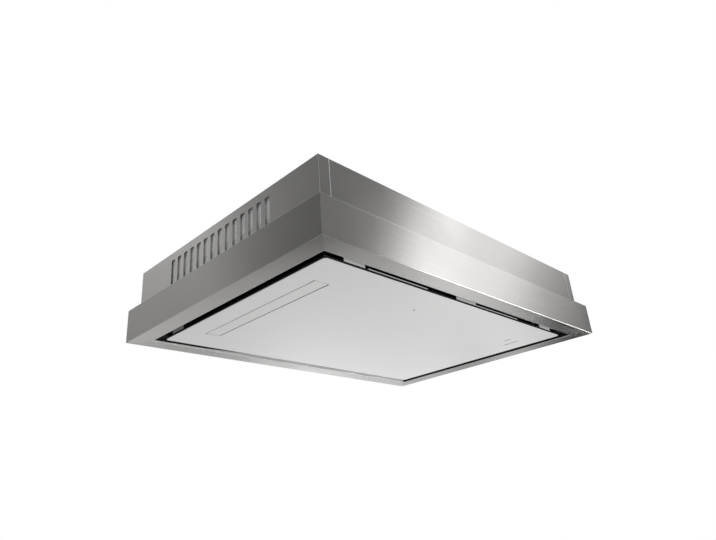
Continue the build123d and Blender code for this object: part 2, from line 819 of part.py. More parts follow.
# Rubber mounts between the scroll and the body
with BuildPart() as blower_mounts:
    with BuildSketch(Plane.XY.offset(blower_top)):
        with Locations((blower_x, blower_y + scroll_step / 2)):
            with PolarLocations(scroll_radius - 2 * mount_radius, 4, start_angle=45):
                Circle(mount_radius)
    extrude(amount=mount_height)
blower_mounts.part.label = "blower_mounts"
export_step(blower_mounts.part, "parts/blower_mounts.step")


# Part of a flat ring that spans the bayonet's angle
def bayonet_sector(inner, outer):
    with BuildSketch() as sector:
        with BuildLine():
            inner_arc = CenterArc((0, 0), inner, 0, bayonet_angle)
            outer_arc = CenterArc((0, 0), outer, 0, bayonet_angle)
            Line(inner_arc @ 0, outer_arc @ 0)
            Line(inner_arc @ 1, outer_arc @ 1)
        make_face()
    return sector.sketch


# Inlet ring with the bayonet's lugs
ring_bottom = blower_bottom - inlet_ring_height
with BuildPart() as inlet_ring:
    with BuildSketch(Plane.XY.offset(ring_bottom)):
        with Locations((blower_x, blower_y)):
            Circle(inlet_ring_radius)
            Circle(inlet_radius, mode=Mode.SUBTRACT)
    extrude(amount=inlet_ring_height)
    ring_edges = inlet_ring.edges().filter_by(GeomType.CIRCLE).group_by(Axis.Z)[0]
    fillet(ring_edges.sort_by(SortBy.RADIUS)[0], bend_radius)
    with BuildSketch(Plane.XY.offset(ring_bottom)):
        with Locations((blower_x, blower_y)):
            with PolarLocations(0, bayonet_count):
                add(bayonet_sector(inlet_ring_radius - bayonet_sheet, inlet_ring_radius + bayonet_reach))
    extrude(amount=bayonet_sheet)
inlet_ring.part.label = "inlet_ring"
export_step(inlet_ring.part, "parts/inlet_ring.step")

# Round carbon filter: a vented cassette with hooks over the lugs, and its charcoal
cassette_bottom = filter_top + cassette_gap
lug_top = ring_bottom + bayonet_sheet
cassette_top = lug_top + bayonet_gap + bayonet_sheet
charcoal_radius = cassette_radius - cassette_wall
with BuildPart() as carbon_cassette:
    with BuildSketch(Plane.XY.offset(cassette_bottom)):
        with Locations((blower_x, blower_y)):
            Circle(cassette_radius)
    extrude(amount=cassette_top - cassette_bottom)
    with BuildSketch(Plane.XY.offset(cassette_bottom + cassette_floor)):
        with Locations((blower_x, blower_y)):
            Circle(charcoal_radius)
    extrude(amount=cassette_top - cassette_bottom, mode=Mode.SUBTRACT)
    with BuildSketch(Plane.XY.offset(cassette_bottom)):
        with Locations((blower_x, blower_y)):
            for ring_radius, vent_count in zip(vent_ring_radii, vent_ring_counts):
                with PolarLocations(ring_radius, vent_count):
                    Circle(vent_radius)
    extrude(amount=cassette_floor, mode=Mode.SUBTRACT)
    with BuildSketch(Plane.XY.offset(cassette_bottom - grip_height)):
        with Locations((blower_x, blower_y)):
            Rectangle(grip_width, 2 * charcoal_radius)
    extrude(amount=grip_height)
    with BuildSketch(Plane.XY.offset(lug_top + bayonet_gap)):
        with Locations((blower_x, blower_y)):
            with PolarLocations(0, bayonet_count):
                add(bayonet_sector(inlet_ring_radius + bayonet_sheet, cassette_radius - cassette_wall / 2))
    extrude(amount=bayonet_sheet)
carbon_cassette.part.label = "carbon_cassette"
export_step(carbon_cassette.part, "parts/carbon_cassette.step")

with BuildPart() as charcoal:
    with BuildSketch(Plane.XY.offset(cassette_bottom + cassette_floor)):
        with Locations((blower_x, blower_y)):
            Circle(charcoal_radius)
    extrude(amount=charcoal_depth)
charcoal.part.label = "charcoal"
export_step(charcoal.part, "parts/charcoal.step")

# Impeller: a back plate on the rotor, an end ring at the inlet and curved blades between
impeller_bottom = blower_bottom + blower_wall + impeller_gap
impeller_top = impeller_bottom + impeller_height
blade_radius = impeller_radius - end_ring_width / 2
blade_line = CenterArc((0, 0), blade_curve, 90 - blade_arc / 2, blade_arc)
with BuildPart() as impeller:
    with BuildSketch(Plane.XY.offset(impeller_top - impeller_sheet)):
        with Locations((blower_x, blower_y)):
            Circle(impeller_radius)
            Circle(rotor_radius, mode=Mode.SUBTRACT)
    extrude(amount=impeller_sheet)
    with BuildSketch(Plane.XY.offset(impeller_bottom)):
        with Locations((blower_x, blower_y)):
            Circle(impeller_radius)
            Circle(impeller_radius - end_ring_width, mode=Mode.SUBTRACT)
    extrude(amount=impeller_sheet)
    with BuildSketch(Plane.XY.offset(impeller_bottom)):
        with Locations((blower_x, blower_y)):
            with PolarLocations(blade_radius, blade_count):
                SlotArc(blade_line, blade_sheet, rotation=blade_angle)
    extrude(amount=impeller_height)
impeller.part.label = "impeller"
export_step(impeller.part, "parts/impeller.step")

# Outer-rotor motor: stator on the scroll's roof, rotor cup and shaft
rotor_top = blower_top - blower_wall - rotor_top_gap
rotor_bottom = rotor_top - rotor_height
with BuildPart() as motor_stator:
    with BuildSketch(Plane.XY.offset(rotor_top)):
        with Locations((blower_x, blower_y)):
            Circle(motor_flange_radius)
    extrude(amount=rotor_top_gap)
    with BuildSketch(Plane.XY.offset(rotor_bottom + rotor_wall + stator_gap)):
        with Locations((blower_x, blower_y)):
            Circle(rotor_radius - rotor_wall - stator_gap)
    extrude(amount=rotor_height - rotor_wall - stator_gap)
    with Locations((blower_x, blower_y, rotor_bottom)):
        Cylinder(
            shaft_radius + shaft_clearance,
            rotor_height + stator_gap,
            align=(Align.CENTER, Align.CENTER, Align.MIN),
            mode=Mode.SUBTRACT,
        )
motor_stator.part.label = "motor_stator"
export_step(motor_stator.part, "parts/motor_stator.step")

with BuildPart() as motor_rotor:
    with BuildSketch(Plane.XY.offset(rotor_bottom)):
        with Locations((blower_x, blower_y)):
            Circle(rotor_radius)
            Circle(shaft_radius, mode=Mode.SUBTRACT)
    extrude(amount=rotor_height)
    with BuildSketch(Plane.XY.offset(rotor_bottom + rotor_wall)):
        with Locations((blower_x, blower_y)):
            Circle(rotor_radius - rotor_wall)
    extrude(amount=rotor_height, mode=Mode.SUBTRACT)
motor_rotor.part.label = "motor_rotor"
export_step(motor_rotor.part, "parts/motor_rotor.step")

with BuildPart() as motor_shaft:
    with BuildSketch(Plane.XY.offset(rotor_bottom - shaft_end)):
        with Locations((blower_x, blower_y)):
            Circle(shaft_radius)
    extrude(amount=rotor_height + shaft_end)
motor_shaft.part.label = "motor_shaft"
export_step(motor_shaft.part, "parts/motor_shaft.step")

# Outlet duct: a trough and its lid, from the scroll through the body's wall
duct_end = body_length / 2 + duct_exit
duct_length = outlet_x + duct_end
flap_axis_x = outlet_x - flap_setback
flap_axis_z = blower_top - duct_wall - flap_top_gap - flap_pin_radius
seat_x = flap_axis_x + seat_offset
with BuildPart() as outlet_duct:
    with BuildSketch(Plane.YZ.offset(outlet_x)):
        with Locations((duct_middle_y, blower_middle)):
            Rectangle(duct_width, blower_height)
            Rectangle(duct_width - 2 * duct_wall, blower_height - 2 * duct_wall, mode=Mode.SUBTRACT)
    extrude(amount=-duct_length)
    with BuildSketch(Plane.YZ.offset(seat_x)):
        with Locations((duct_middle_y, blower_middle)):
            Rectangle(duct_width - duct_wall, blower_height - duct_wall)
            Rectangle(
                duct_width - 2 * duct_wall - 2 * seat_width,
                blower_height - 2 * duct_wall - 2 * seat_width,
                mode=Mode.SUBTRACT,
            )
    extrude(amount=seat_sheet)
    with BuildSketch(Plane.YZ.offset(-body_length / 2)):
        with Locations((duct_middle_y, blower_middle)):
            Rectangle(duct_width + 2 * duct_flange, blower_height + 2 * duct_flange)
            Rectangle(duct_width - 2 * duct_wall, blower_height - 2 * duct_wall, mode=Mode.SUBTRACT)
    extrude(amount=-duct_flange_sheet)
    with BuildSketch(Plane.XZ.offset(-outlet_high_y)):
        with Locations((flap_axis_x, flap_axis_z)):
            Circle(flap_pin_radius + flap_pin_clearance)
    extrude(amount=duct_width, mode=Mode.SUBTRACT)
    with BuildSketch(Plane.XY.offset(blower_top - duct_wall - duct_seam)):
        with Locations(((outlet_x - duct_end) / 2, duct_middle_y)):
            Rectangle(duct_length, duct_width + 2 * duct_flange)
    extrude(amount=duct_seam, mode=Mode.SUBTRACT)
outlet_duct.part.label = "outlet_duct"
export_step(outlet_duct.part, "parts/outlet_duct.step")

# Backdraft flap: hangs from its pin and closes against the seat
flap_low = blower_bottom + duct_wall + flap_side_gap
with BuildPart() as backdraft_flap:
    with BuildSketch(Plane.YZ.offset(flap_axis_x - flap_sheet / 2)):
        with Locations((duct_middle_y, (flap_axis_z + flap_low) / 2)):
            Rectangle(duct_width - 2 * duct_wall - 2 * flap_side_gap, flap_axis_z - flap_low)
    extrude(amount=flap_sheet)
    with BuildSketch(Plane.XZ.offset(-outlet_high_y)):
        with Locations((flap_axis_x, flap_axis_z)):
            Circle(flap_pin_radius)
    extrude(amount=duct_width)
backdraft_flap.part.label = "backdraft_flap"
export_step(backdraft_flap.part, "parts/backdraft_flap.step")

# Control box under the body's roof, its lid and circuit board
control_top = body_ceiling
control_bottom = control_top - control_height
with BuildPart() as control_box:
    with BuildSketch(Plane.XY.offset(control_bottom)):
        with Locations((control_x, control_y)):
            RectangleRounded(control_length, control_width, control_corner)
    extrude(amount=control_height)
    with BuildSketch(Plane.XY.offset(control_bottom)):
        with Locations((control_x, control_y)):
            RectangleRounded(
                control_length - 2 * control_wall,
                control_width - 2 * control_wall,
                control_corner - control_wall,
            )
    extrude(amount=control_height - control_wall, mode=Mode.SUBTRACT)
    with BuildSketch(Plane.XY.offset(control_top - control_wall - post_height)):
        with Locations((control_x, control_y)):
            with GridLocations(control_length - 2 * post_inset, control_width - 2 * post_inset, 2, 2):
                Circle(post_radius)
    extrude(amount=post_height)
control_box.part.label = "control_box"
export_step(control_box.part, "parts/control_box.step")

with BuildPart() as control_lid:
    with BuildSketch(Plane.XY.offset(control_bottom - control_lid_sheet)):
        with Locations((control_x, control_y)):
            RectangleRounded(control_length, control_width, control_corner)
    extrude(amount=control_lid_sheet)
control_lid.part.label = "control_lid"
export_step(control_lid.part, "parts/control_lid.step")

board_top = control_top - control_wall - post_height
board_bottom = board_top - board_thickness
with BuildPart() as circuit_board:
    with BuildSketch(Plane.XY.offset(board_bottom)):
        with Locations((control_x, control_y)):
            Rectangle(circuit_length, circuit_width)
    extrude(amount=board_thickness)
    for share_x, share_y, part_width, part_length, part_height in circuit_parts:
        with BuildSketch(Plane.XY.offset(board_bottom)):
            with Locations((control_x + share_x * circuit_length, control_y + share_y * circuit_width)):
                Rectangle(part_width, part_length)
        extrude(amount=-part_height)
circuit_board.part.label = "circuit_board"
export_step(circuit_board.part, "parts/circuit_board.step")

# Driver for the light strip, on the intake plate
with BuildPart() as light_driver:
    with BuildSketch(Plane.XY.offset(plate_top)):
        with Locations((driver_x, 0)):
            RectangleRounded(driver_length, driver_width, driver_corner)
    extrude(amount=driver_height)
light_driver.part.label = "light_driver"
export_step(light_driver.part, "parts/light_driver.step")

# Cable gland in the body's roof
with BuildPart() as cable_gland:
    with BuildSketch(Plane.XY.offset(body_ceiling - gland_below)):
        with Locations((gland_x, gland_y)):
            Circle(gland_thread)
    extrude(amount=gland_below + body_sheet + gland_top)
    with BuildSketch(Plane.XY.offset(body_top)):
        with Locations((gland_x, gland_y)):
            RegularPolygon(gland_hex, 6)
    extrude(amount=gland_top / 2)
    with BuildSketch(Plane.XY.offset(body_ceiling)):
        with Locations((gland_x, gland_y)):
            RegularPolygon(gland_hex, 6)
    extrude(amount=-gland_below / 2)
    with BuildSketch(Plane.XY.offset(body_ceiling - gland_below)):
        with Locations((gland_x, gland_y)):
            Circle(gland_bore)
    extrude(amount=gland_below + body_sheet + gland_top, mode=Mode.SUBTRACT)
cable_gland.part.label = "cable_gland"
export_step(cable_gland.part, "parts/cable_gland.step")

# Service switch in the intake plate: housing and rocker
rocker_axis_z = plate_bottom + rocker_pivot_height
cavity_width = rocker_width + 2 * rocker_side_gap
cavity_length = 2 * (rocker_half + rocker_end_gap)
cavity_depth = rocker_pivot_height + rocker_half
with BuildPart() as switch_housing:
    with BuildSketch(Plane.XY.offset(plate_bottom)):
        with Locations((switch_x, switch_y)):
            Rectangle(switch_body_width, switch_body_length)
    extrude(amount=switch_depth)
    with BuildSketch(Plane.XY.offset(plate_bottom - switch_bezel)):
        with Locations((switch_x, switch_y)):
            RectangleRounded(switch_bezel_width, switch_bezel_length, switch_bezel)
    extrude(amount=switch_bezel)
    with BuildSketch(Plane.XY.offset(plate_bottom - switch_bezel)):
        with Locations((switch_x, switch_y)):
            Rectangle(cavity_width, cavity_length)
    extrude(amount=switch_bezel + cavity_depth, mode=Mode.SUBTRACT)
    with BuildSketch(Plane.YZ.offset(switch_x - switch_body_width / 2)):
        with Locations((switch_y, rocker_axis_z)):
            Circle(rocker_pin_radius + rocker_pin_clearance)
    extrude(amount=switch_body_width, mode=Mode.SUBTRACT)
switch_housing.part.label = "switch_housing"
export_step(switch_housing.part, "parts/switch_housing.step")

rocker_low = -rocker_pivot_height - switch_bezel
with BuildPart() as switch_rocker:
    with BuildSketch(Plane.YZ.offset(switch_x - rocker_width / 2)):
        with Locations(Location((switch_y, rocker_axis_z), rocker_tilt)):
            Polygon(
                (-rocker_half, rocker_low - rocker_dish),
                (0, rocker_low),
                (rocker_half, rocker_low - rocker_dish),
                (rocker_half, rocker_back),
                (-rocker_half, rocker_back),
                align=None,
            )
    extrude(amount=rocker_width)
    with BuildSketch(Plane.YZ.offset(switch_x - switch_body_width / 2)):
        with Locations((switch_y, rocker_axis_z)):
            Circle(rocker_pin_radius)
    extrude(amount=switch_body_width)
switch_rocker.part.label = "switch_rocker"
export_step(switch_rocker.part, "parts/switch_rocker.step")

# Panel glass, with openings for the light strip and the windows
light_hole_width = light_width + 2 * light_gap
light_hole_length = light_length + 2 * light_end_gap
tray_hole_width = light_width - 2 * light_seat
tray_hole_length = light_length - 2 * light_seat
windows = (
    (long_window_x, long_window_y, long_window_length),
    (short_window_x, short_window_y, short_window_length),
)
with BuildPart() as panel_glass:
    with BuildSketch(Plane.XY.offset(panel_bottom)):
        RectangleRounded(panel_length, panel_width, panel_corner)
    extrude(amount=glass_thickness)
    chamfer(panel_glass.faces().sort_by(Axis.Z)[0].edges(), glass_bevel)
    with BuildSketch(Plane.XY.offset(panel_bottom)):
        with Locations((light_x, 0)):
            RectangleRounded(light_hole_width, light_hole_length, light_corner)
        for window_x, window_y, window_length in windows:
            with Locations((window_x, window_y)):
                SlotOverall(window_length, window_width, rotation=90)
        with Locations(eye):
            Circle(eye_radius)
    extrude(amount=glass_thickness, mode=Mode.SUBTRACT)
panel_glass.part.label = "panel_glass"
export_step(panel_glass.part, "parts/panel_glass.step")

# Steel tray bonded behind the glass
with BuildPart() as panel_tray:
    with BuildSketch(Plane.XY.offset(glass_top)):
        RectangleRounded(tray_length, tray_width, panel_corner - tray_inset)
        with Locations((light_x, 0)):
            Rectangle(tray_hole_width, tray_hole_length, mode=Mode.SUBTRACT)
        for window_x, window_y, window_length in windows:
            with Locations((window_x, window_y)):
                SlotOverall(window_length, window_width, rotation=90, mode=Mode.SUBTRACT)
        with Locations(eye):
            Circle(eye_radius, mode=Mode.SUBTRACT)
    extrude(amount=tray_sheet)
panel_tray.part.label = "panel_tray"
export_step(panel_tray.part, "parts/panel_tray.step")

# Upright tabs round the panel and flat lips along its front edge, all in the air gap
long_edge = tray_width / 2
short_edge = tray_length / 2
tab_rows = (
    (front, long_edge, (-tab_centre_x, tab_centre_x), tab_width_outer, tab_height),
    (front, long_edge, (0.0,), tab_width_middle, tab_height),
    (back, long_edge, (-tab_centre_x, tab_centre_x), tab_width_outer, tab_back_height),
    (back, long_edge, (0.0,), tab_width_middle, tab_back_height),
    (left, short_edge, (tab_side_y,), tab_side_width, tab_height),
    (right, short_edge, (-tab_side_y,), tab_side_width, tab_height),
)
with BuildPart() as panel_tabs:
    for outward, edge, tab_places, tab_width, height in tab_rows:
        with BuildSketch(plan_plane(outward, tray_top)):
            for tab_place in tab_places:
                with Locations((tab_place, edge - tab_foot / 2)):
                    Rectangle(tab_width, tab_foot)
        extrude(amount=tab_sheet)
        with BuildSketch(plan_plane(outward, tray_top)):
            for tab_place in tab_places:
                with Locations((tab_place, edge - tab_sheet / 2)):
                    Rectangle(tab_width, tab_sheet)
        extrude(amount=height)
    with BuildSketch(Plane.XY.offset(tray_top)):
        for lip_x in air_lip_centres:
            with Locations((lip_x, air_lip_depth / 2 - long_edge)):
                Rectangle(air_lip_width, air_lip_depth)
    extrude(amount=air_lip_sheet)
panel_tabs.part.label = "panel_tabs"
export_step(panel_tabs.part, "parts/panel_tabs.step")

# Light strip: diffuser below the tray, channel and light board above it
with BuildPart() as light_diffuser:
    with BuildSketch(Plane.XY.offset(glass_top)):
        with Locations((light_x, 0)):
            RectangleRounded(light_width, light_length, light_corner)
    extrude(amount=-light_thickness)
light_diffuser.part.label = "light_diffuser"
export_step(light_diffuser.part, "parts/light_diffuser.step")

channel_width = tray_hole_width + 2 * light_channel_margin
channel_length = tray_hole_length + 2 * light_channel_margin
with BuildPart() as light_channel:
    with BuildSketch(Plane.XY.offset(tray_top)):
        with Locations((light_x, 0)):
            Rectangle(channel_width, channel_length)
    extrude(amount=light_channel_height)
    with BuildSketch(Plane.XY.offset(tray_top)):
        with Locations((light_x, 0)):
            Rectangle(channel_width - 2 * channel_wall, channel_length - 2 * channel_wall)
    extrude(amount=light_channel_height - channel_wall, mode=Mode.SUBTRACT)
light_channel.part.label = "light_channel"
export_step(light_channel.part, "parts/light_channel.step")

light_board_top = tray_top + light_channel_height - channel_wall
with BuildPart() as light_board:
    with BuildSketch(Plane.XY.offset(light_board_top)):
        with Locations((light_x, 0)):
            Rectangle(channel_width - 2 * board_margin, channel_length - 2 * board_margin)
    extrude(amount=-board_thickness)
    with BuildSketch(Plane.XY.offset(light_board_top - board_thickness)):
        with Locations((light_x, 0)):
            with GridLocations(0, lamp_pitch, 1, lamp_count):
                Rectangle(lamp_size, lamp_size)
    extrude(amount=-lamp_height)
light_board.part.label = "light_board"
export_step(light_board.part, "parts/light_board.step")

# Clear inserts in the windows and the eye, and the units behind them
with BuildPart() as sensor_windows:
    with BuildSketch(Plane.XY.offset(tray_top)):
        for window_x, window_y, window_length in windows:
            with Locations((window_x, window_y)):
                SlotOverall(window_length - 2 * window_fit, window_width - 2 * window_fit, rotation=90)
        with Locations(eye):
            Circle(eye_radius - window_fit)
    extrude(amount=window_recess - tray_sheet - glass_thickness)
sensor_windows.part.label = "sensor_windows"
export_step(sensor_windows.part, "parts/sensor_windows.step")

receiver_x = (long_window_x + short_window_x) / 2
receiver_width = long_window_x - short_window_x + 2 * receiver_margin
with BuildPart() as sensor_units:
    with BuildSketch(Plane.XY.offset(tray_top)):
        with Locations((receiver_x, long_window_y)):
            RectangleRounded(receiver_width, long_window_length + 2 * receiver_margin, sensor_corner)
        with Locations(eye):
            RectangleRounded(eye_unit_size, eye_unit_size, sensor_corner)
    extrude(amount=receiver_height)
sensor_units.part.label = "sensor_units"
export_step(sensor_units.part, "parts/sensor_units.step")

# Panel hinges: brackets under the intake plate, leaves on the tray, and pins
hinge_y = panel_width / 2 - hinge_inset
hinge_z = tray_top + hinge_height
ear_place = knuckle_width / 2 + knuckle_gap + ear_sheet / 2
hinge_width = knuckle_width + 2 * knuckle_gap + 2 * ear_sheet
with BuildPart() as hinge_brackets:
    with BuildSketch(Plane.XY.offset(plate_bottom)):
        with Locations((-hinge_x, hinge_y), (hinge_x, hinge_y)):
            Rectangle(hinge_width, bracket_foot)
    extrude(amount=-bracket_sheet)
    for ear_x in (-hinge_x - ear_place, -hinge_x + ear_place, hinge_x - ear_place, hinge_x + ear_place):
        with BuildSketch(Plane.YZ.offset(ear_x - ear_sheet / 2)):
            with Locations((hinge_y, hinge_z)):
                Circle(hinge_radius)
                ear_height = plate_bottom - hinge_z
                Rectangle(2 * hinge_radius, ear_height, align=(Align.CENTER, Align.MIN))
        extrude(amount=ear_sheet)
    with BuildSketch(Plane.YZ.offset(-body_length / 2)):
        with Locations((hinge_y, hinge_z)):
            Circle(hinge_pin_radius)
    extrude(amount=body_length, mode=Mode.SUBTRACT)
hinge_brackets.part.label = "hinge_brackets"
export_step(hinge_brackets.part, "parts/hinge_brackets.step")

with BuildPart() as hinge_leaves:
    with BuildSketch(Plane.XY.offset(tray_top)):
        with Locations((-hinge_x, long_edge - leaf_length / 2), (hinge_x, long_edge - leaf_length / 2)):
            Rectangle(leaf_width, leaf_length)
    extrude(amount=leaf_sheet)
    for leaf_x in (-hinge_x, hinge_x):
        with BuildSketch(Plane.YZ.offset(leaf_x - knuckle_width / 2)):
            with Locations((hinge_y, hinge_z)):
                Circle(hinge_radius)
                Rectangle(2 * hinge_radius, hinge_height, align=(Align.CENTER, Align.MAX))
        extrude(amount=knuckle_width)
    with BuildSketch(Plane.YZ.offset(-body_length / 2)):
        with Locations((hinge_y, hinge_z)):
            Circle(hinge_pin_radius + hinge_pin_clearance)
    extrude(amount=body_length, mode=Mode.SUBTRACT)
hinge_leaves.part.label = "hinge_leaves"
export_step(hinge_leaves.part, "parts/hinge_leaves.step")

with BuildPart() as hinge_pins:
    for pin_x in (-hinge_x, hinge_x):
        with BuildSketch(Plane.YZ.offset(pin_x)):
            with Locations((hinge_y, hinge_z)):
                Circle(hinge_pin_radius)
        extrude(amount=hinge_width / 2 + hinge_pin_head, both=True)
        for head_x in (pin_x - hinge_width / 2 - hinge_pin_head, pin_x + hinge_width / 2):
            with BuildSketch(Plane.YZ.offset(head_x)):
                with Locations((hinge_y, hinge_z)):
                    Circle(hinge_pin_head_radius)
            extrude(amount=hinge_pin_head)
hinge_pins.part.label = "hinge_pins"
export_step(hinge_pins.part, "parts/hinge_pins.step")

# Push catches that hold the panel's front edge: barrels in the intake plate, and plungers
catch_top = plate_bottom + catch_depth
bore_top = catch_top - catch_wall
plunger_top = bore_top - plunger_travel - catch_wall
with BuildPart() as catch_bodies:
    with BuildSketch(Plane.XY.offset(plate_bottom)):
        with Locations((-catch_x, -catch_y), (catch_x, -catch_y)):
            Circle(catch_radius)
    extrude(amount=catch_depth)
    with BuildSketch(Plane.XY.offset(plate_bottom)):
        with Locations((-catch_x, -catch_y), (catch_x, -catch_y)):
            Circle(catch_flange)
    extrude(amount=-catch_flange_sheet)
    with BuildSketch(Plane.XY.offset(bore_top)):
        with Locations((-catch_x, -catch_y), (catch_x, -catch_y)):
            Circle(plunger_radius + plunger_clearance)
    extrude(amount=plate_bottom - catch_flange_sheet - bore_top, mode=Mode.SUBTRACT)
catch_bodies.part.label = "catch_bodies"
export_step(catch_bodies.part, "parts/catch_bodies.step")

for end_name, plunger_x in {"left": -catch_x, "right": catch_x}.items():
    with BuildPart() as catch_plunger:
        with BuildSketch(Plane.XY.offset(tray_top)):
            with Locations((plunger_x, -catch_y)):
                Circle(plunger_radius)
        extrude(amount=plunger_top - tray_top)
        with BuildSketch(Plane.XY.offset(tray_top)):
            with Locations((plunger_x, -catch_y)):
                Circle(plunger_tip_radius)
        extrude(amount=plunger_tip)
    catch_plunger.part.label = f"catch_plunger_{end_name}"
    export_step(catch_plunger.part, f"parts/catch_plunger_{end_name}.step")
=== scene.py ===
import bmesh
import bpy
import numpy as np
from mathutils import Matrix, Vector


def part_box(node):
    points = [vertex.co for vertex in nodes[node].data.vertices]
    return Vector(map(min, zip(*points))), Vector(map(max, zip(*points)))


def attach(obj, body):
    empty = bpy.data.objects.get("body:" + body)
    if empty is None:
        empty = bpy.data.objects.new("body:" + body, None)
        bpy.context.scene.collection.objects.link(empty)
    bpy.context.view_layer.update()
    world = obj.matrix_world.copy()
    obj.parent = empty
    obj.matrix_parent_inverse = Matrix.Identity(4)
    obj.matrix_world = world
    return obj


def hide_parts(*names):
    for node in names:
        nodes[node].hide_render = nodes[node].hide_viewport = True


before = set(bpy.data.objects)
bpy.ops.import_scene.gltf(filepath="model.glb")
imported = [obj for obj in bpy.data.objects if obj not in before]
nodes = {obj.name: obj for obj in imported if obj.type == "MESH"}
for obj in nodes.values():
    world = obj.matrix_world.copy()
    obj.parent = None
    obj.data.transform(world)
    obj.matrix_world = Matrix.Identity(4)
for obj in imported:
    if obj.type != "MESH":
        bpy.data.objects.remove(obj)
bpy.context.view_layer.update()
print("Range hood frame loaded,", len(nodes), "parts")


# Adds a node; a value in inputs may be a number, a colour or another node's output
def addNode(tree, kind, inputs=None, **settings):
    node = tree.nodes.new(kind)
    for name, value in settings.items():
        setattr(node, name, value)
    for name, value in (inputs or {}).items():
        socket = node.inputs[name]
        if isinstance(value, bpy.types.NodeSocket):
            tree.links.new(value, socket)
        else:
            socket.default_value = value
    return node


def mathOf(tree, operation, a, b=0.5):
    return addNode(tree, "ShaderNodeMath", {0: a, 1: b}, operation=operation).outputs[0]


def vectorOf(tree, operation, a, b):
    return addNode(tree, "ShaderNodeVectorMath", {0: a, 1: b}, operation=operation).outputs[0]


# Straight-line remap of a value, held at both ends
def ramped(tree, value, low, high, toLow=0.0, toHigh=1.0):
    inputs = {"Value": value, "From Min": low, "From Max": high, "To Min": toLow, "To Max": toHigh}
    return addNode(tree, "ShaderNodeMapRange", inputs).outputs["Result"]


def mixColour(tree, factor, a, b, blendType="MIX"):
    return addNode(
        tree, "ShaderNodeMix", {0: factor, 6: a, 7: b}, data_type="RGBA", blend_type=blendType
    ).outputs[2]


def noiseOf(tree, vector, scale, detail=3.0, roughness=0.55):
    inputs = {"Vector": vector, "Scale": scale, "Detail": detail, "Roughness": roughness}
    return addNode(tree, "ShaderNodeTexNoise", inputs).outputs["Fac"]


def grey(level):
    return (level, level, level, 1.0)


# A colour made darker or lighter by factor
def toned(colour, factor, lift=0.0):
    return tuple(min(1.0, c * factor + lift) for c in colour) + (1.0,)


# Starts a shader group with named inputs and outputs; returns the group and its two end nodes
def startGroup(name, inputs, outputs):
    group = bpy.data.node_groups.new(name, "ShaderNodeTree")
    for socketName, kind, value in inputs:
        socket = group.interface.new_socket(name=socketName, in_out="INPUT", socket_type=kind)
        if value is not None:
            socket.default_value = value
    for socketName, kind in outputs:
        group.interface.new_socket(name=socketName, in_out="OUTPUT", socket_type=kind)
    return group, group.nodes.new("NodeGroupInput"), group.nodes.new("NodeGroupOutput")


# Long scratches of a brushed sheet: fine grain, wider streaks and a slow drift of tone
def makeBrushedGrain():
    group, start, end = startGroup(
        "brushedGrain",
        [
            ("Vector", "NodeSocketVector", None),
            ("Fine", "NodeSocketVector", (12.0, 2200.0, 2200.0)),
            ("Coarse", "NodeSocketVector", (2.5, 420.0, 420.0)),
        ],
        [("Grain", "NodeSocketFloat"), ("Streak", "NodeSocketFloat"), ("Drift", "NodeSocketFloat")],
    )
    fine = vectorOf(group, "MULTIPLY", start.outputs["Vector"], start.outputs["Fine"])
    coarse = vectorOf(group, "MULTIPLY", start.outputs["Vector"], start.outputs["Coarse"])
    group.links.new(noiseOf(group, fine, 1.0, 4.0, 0.62), end.inputs["Grain"])
    group.links.new(noiseOf(group, coarse, 1.0, 3.0, 0.55), end.inputs["Streak"])
    group.links.new(noiseOf(group, start.outputs["Vector"], 7.0, 2.0, 0.5), end.inputs["Drift"])
    return group


# Handling marks and settled dust: soft blotches, and small specks
def makeHandling():
    group, start, end = startGroup(
        "handlingMarks",
        [
            ("Vector", "NodeSocketVector", None),
            ("Blotch Scale", "NodeSocketFloat", 14.0),
            ("Speck Scale", "NodeSocketFloat", 900.0),
        ],
        [("Blotch", "NodeSocketFloat"), ("Speck", "NodeSocketFloat")],
    )
    vector = start.outputs["Vector"]
    blotch = noiseOf(group, vector, start.outputs["Blotch Scale"], 4.0, 0.6)
    speck = noiseOf(group, vector, start.outputs["Speck Scale"], 2.0, 0.5)
    group.links.new(ramped(group, blotch, 0.38, 0.66), end.inputs["Blotch"])
    group.links.new(ramped(group, speck, 0.66, 0.74), end.inputs["Speck"])
    return group


# Skin of a moulded or cast part: fine pimples and a slow mottle
def makeMouldedSkin():
    group, start, end = startGroup(
        "mouldedSkin",
        [("Vector", "NodeSocketVector", None), ("Scale", "NodeSocketFloat", 1200.0)],
        [("Height", "NodeSocketFloat"), ("Mottle", "NodeSocketFloat")],
    )
    vector = start.outputs["Vector"]
    place = {"Vector": vector, "Scale": start.outputs["Scale"]}
    cells = addNode(group, "ShaderNodeTexVoronoi", place).outputs["Distance"]
    pimples = noiseOf(group, vector, start.outputs["Scale"], 3.0, 0.6)
    group.links.new(mathOf(group, "MULTIPLY", cells, pimples), end.inputs["Height"])
    group.links.new(noiseOf(group, vector, 22.0, 4.0, 0.6), end.inputs["Mottle"])
    return group


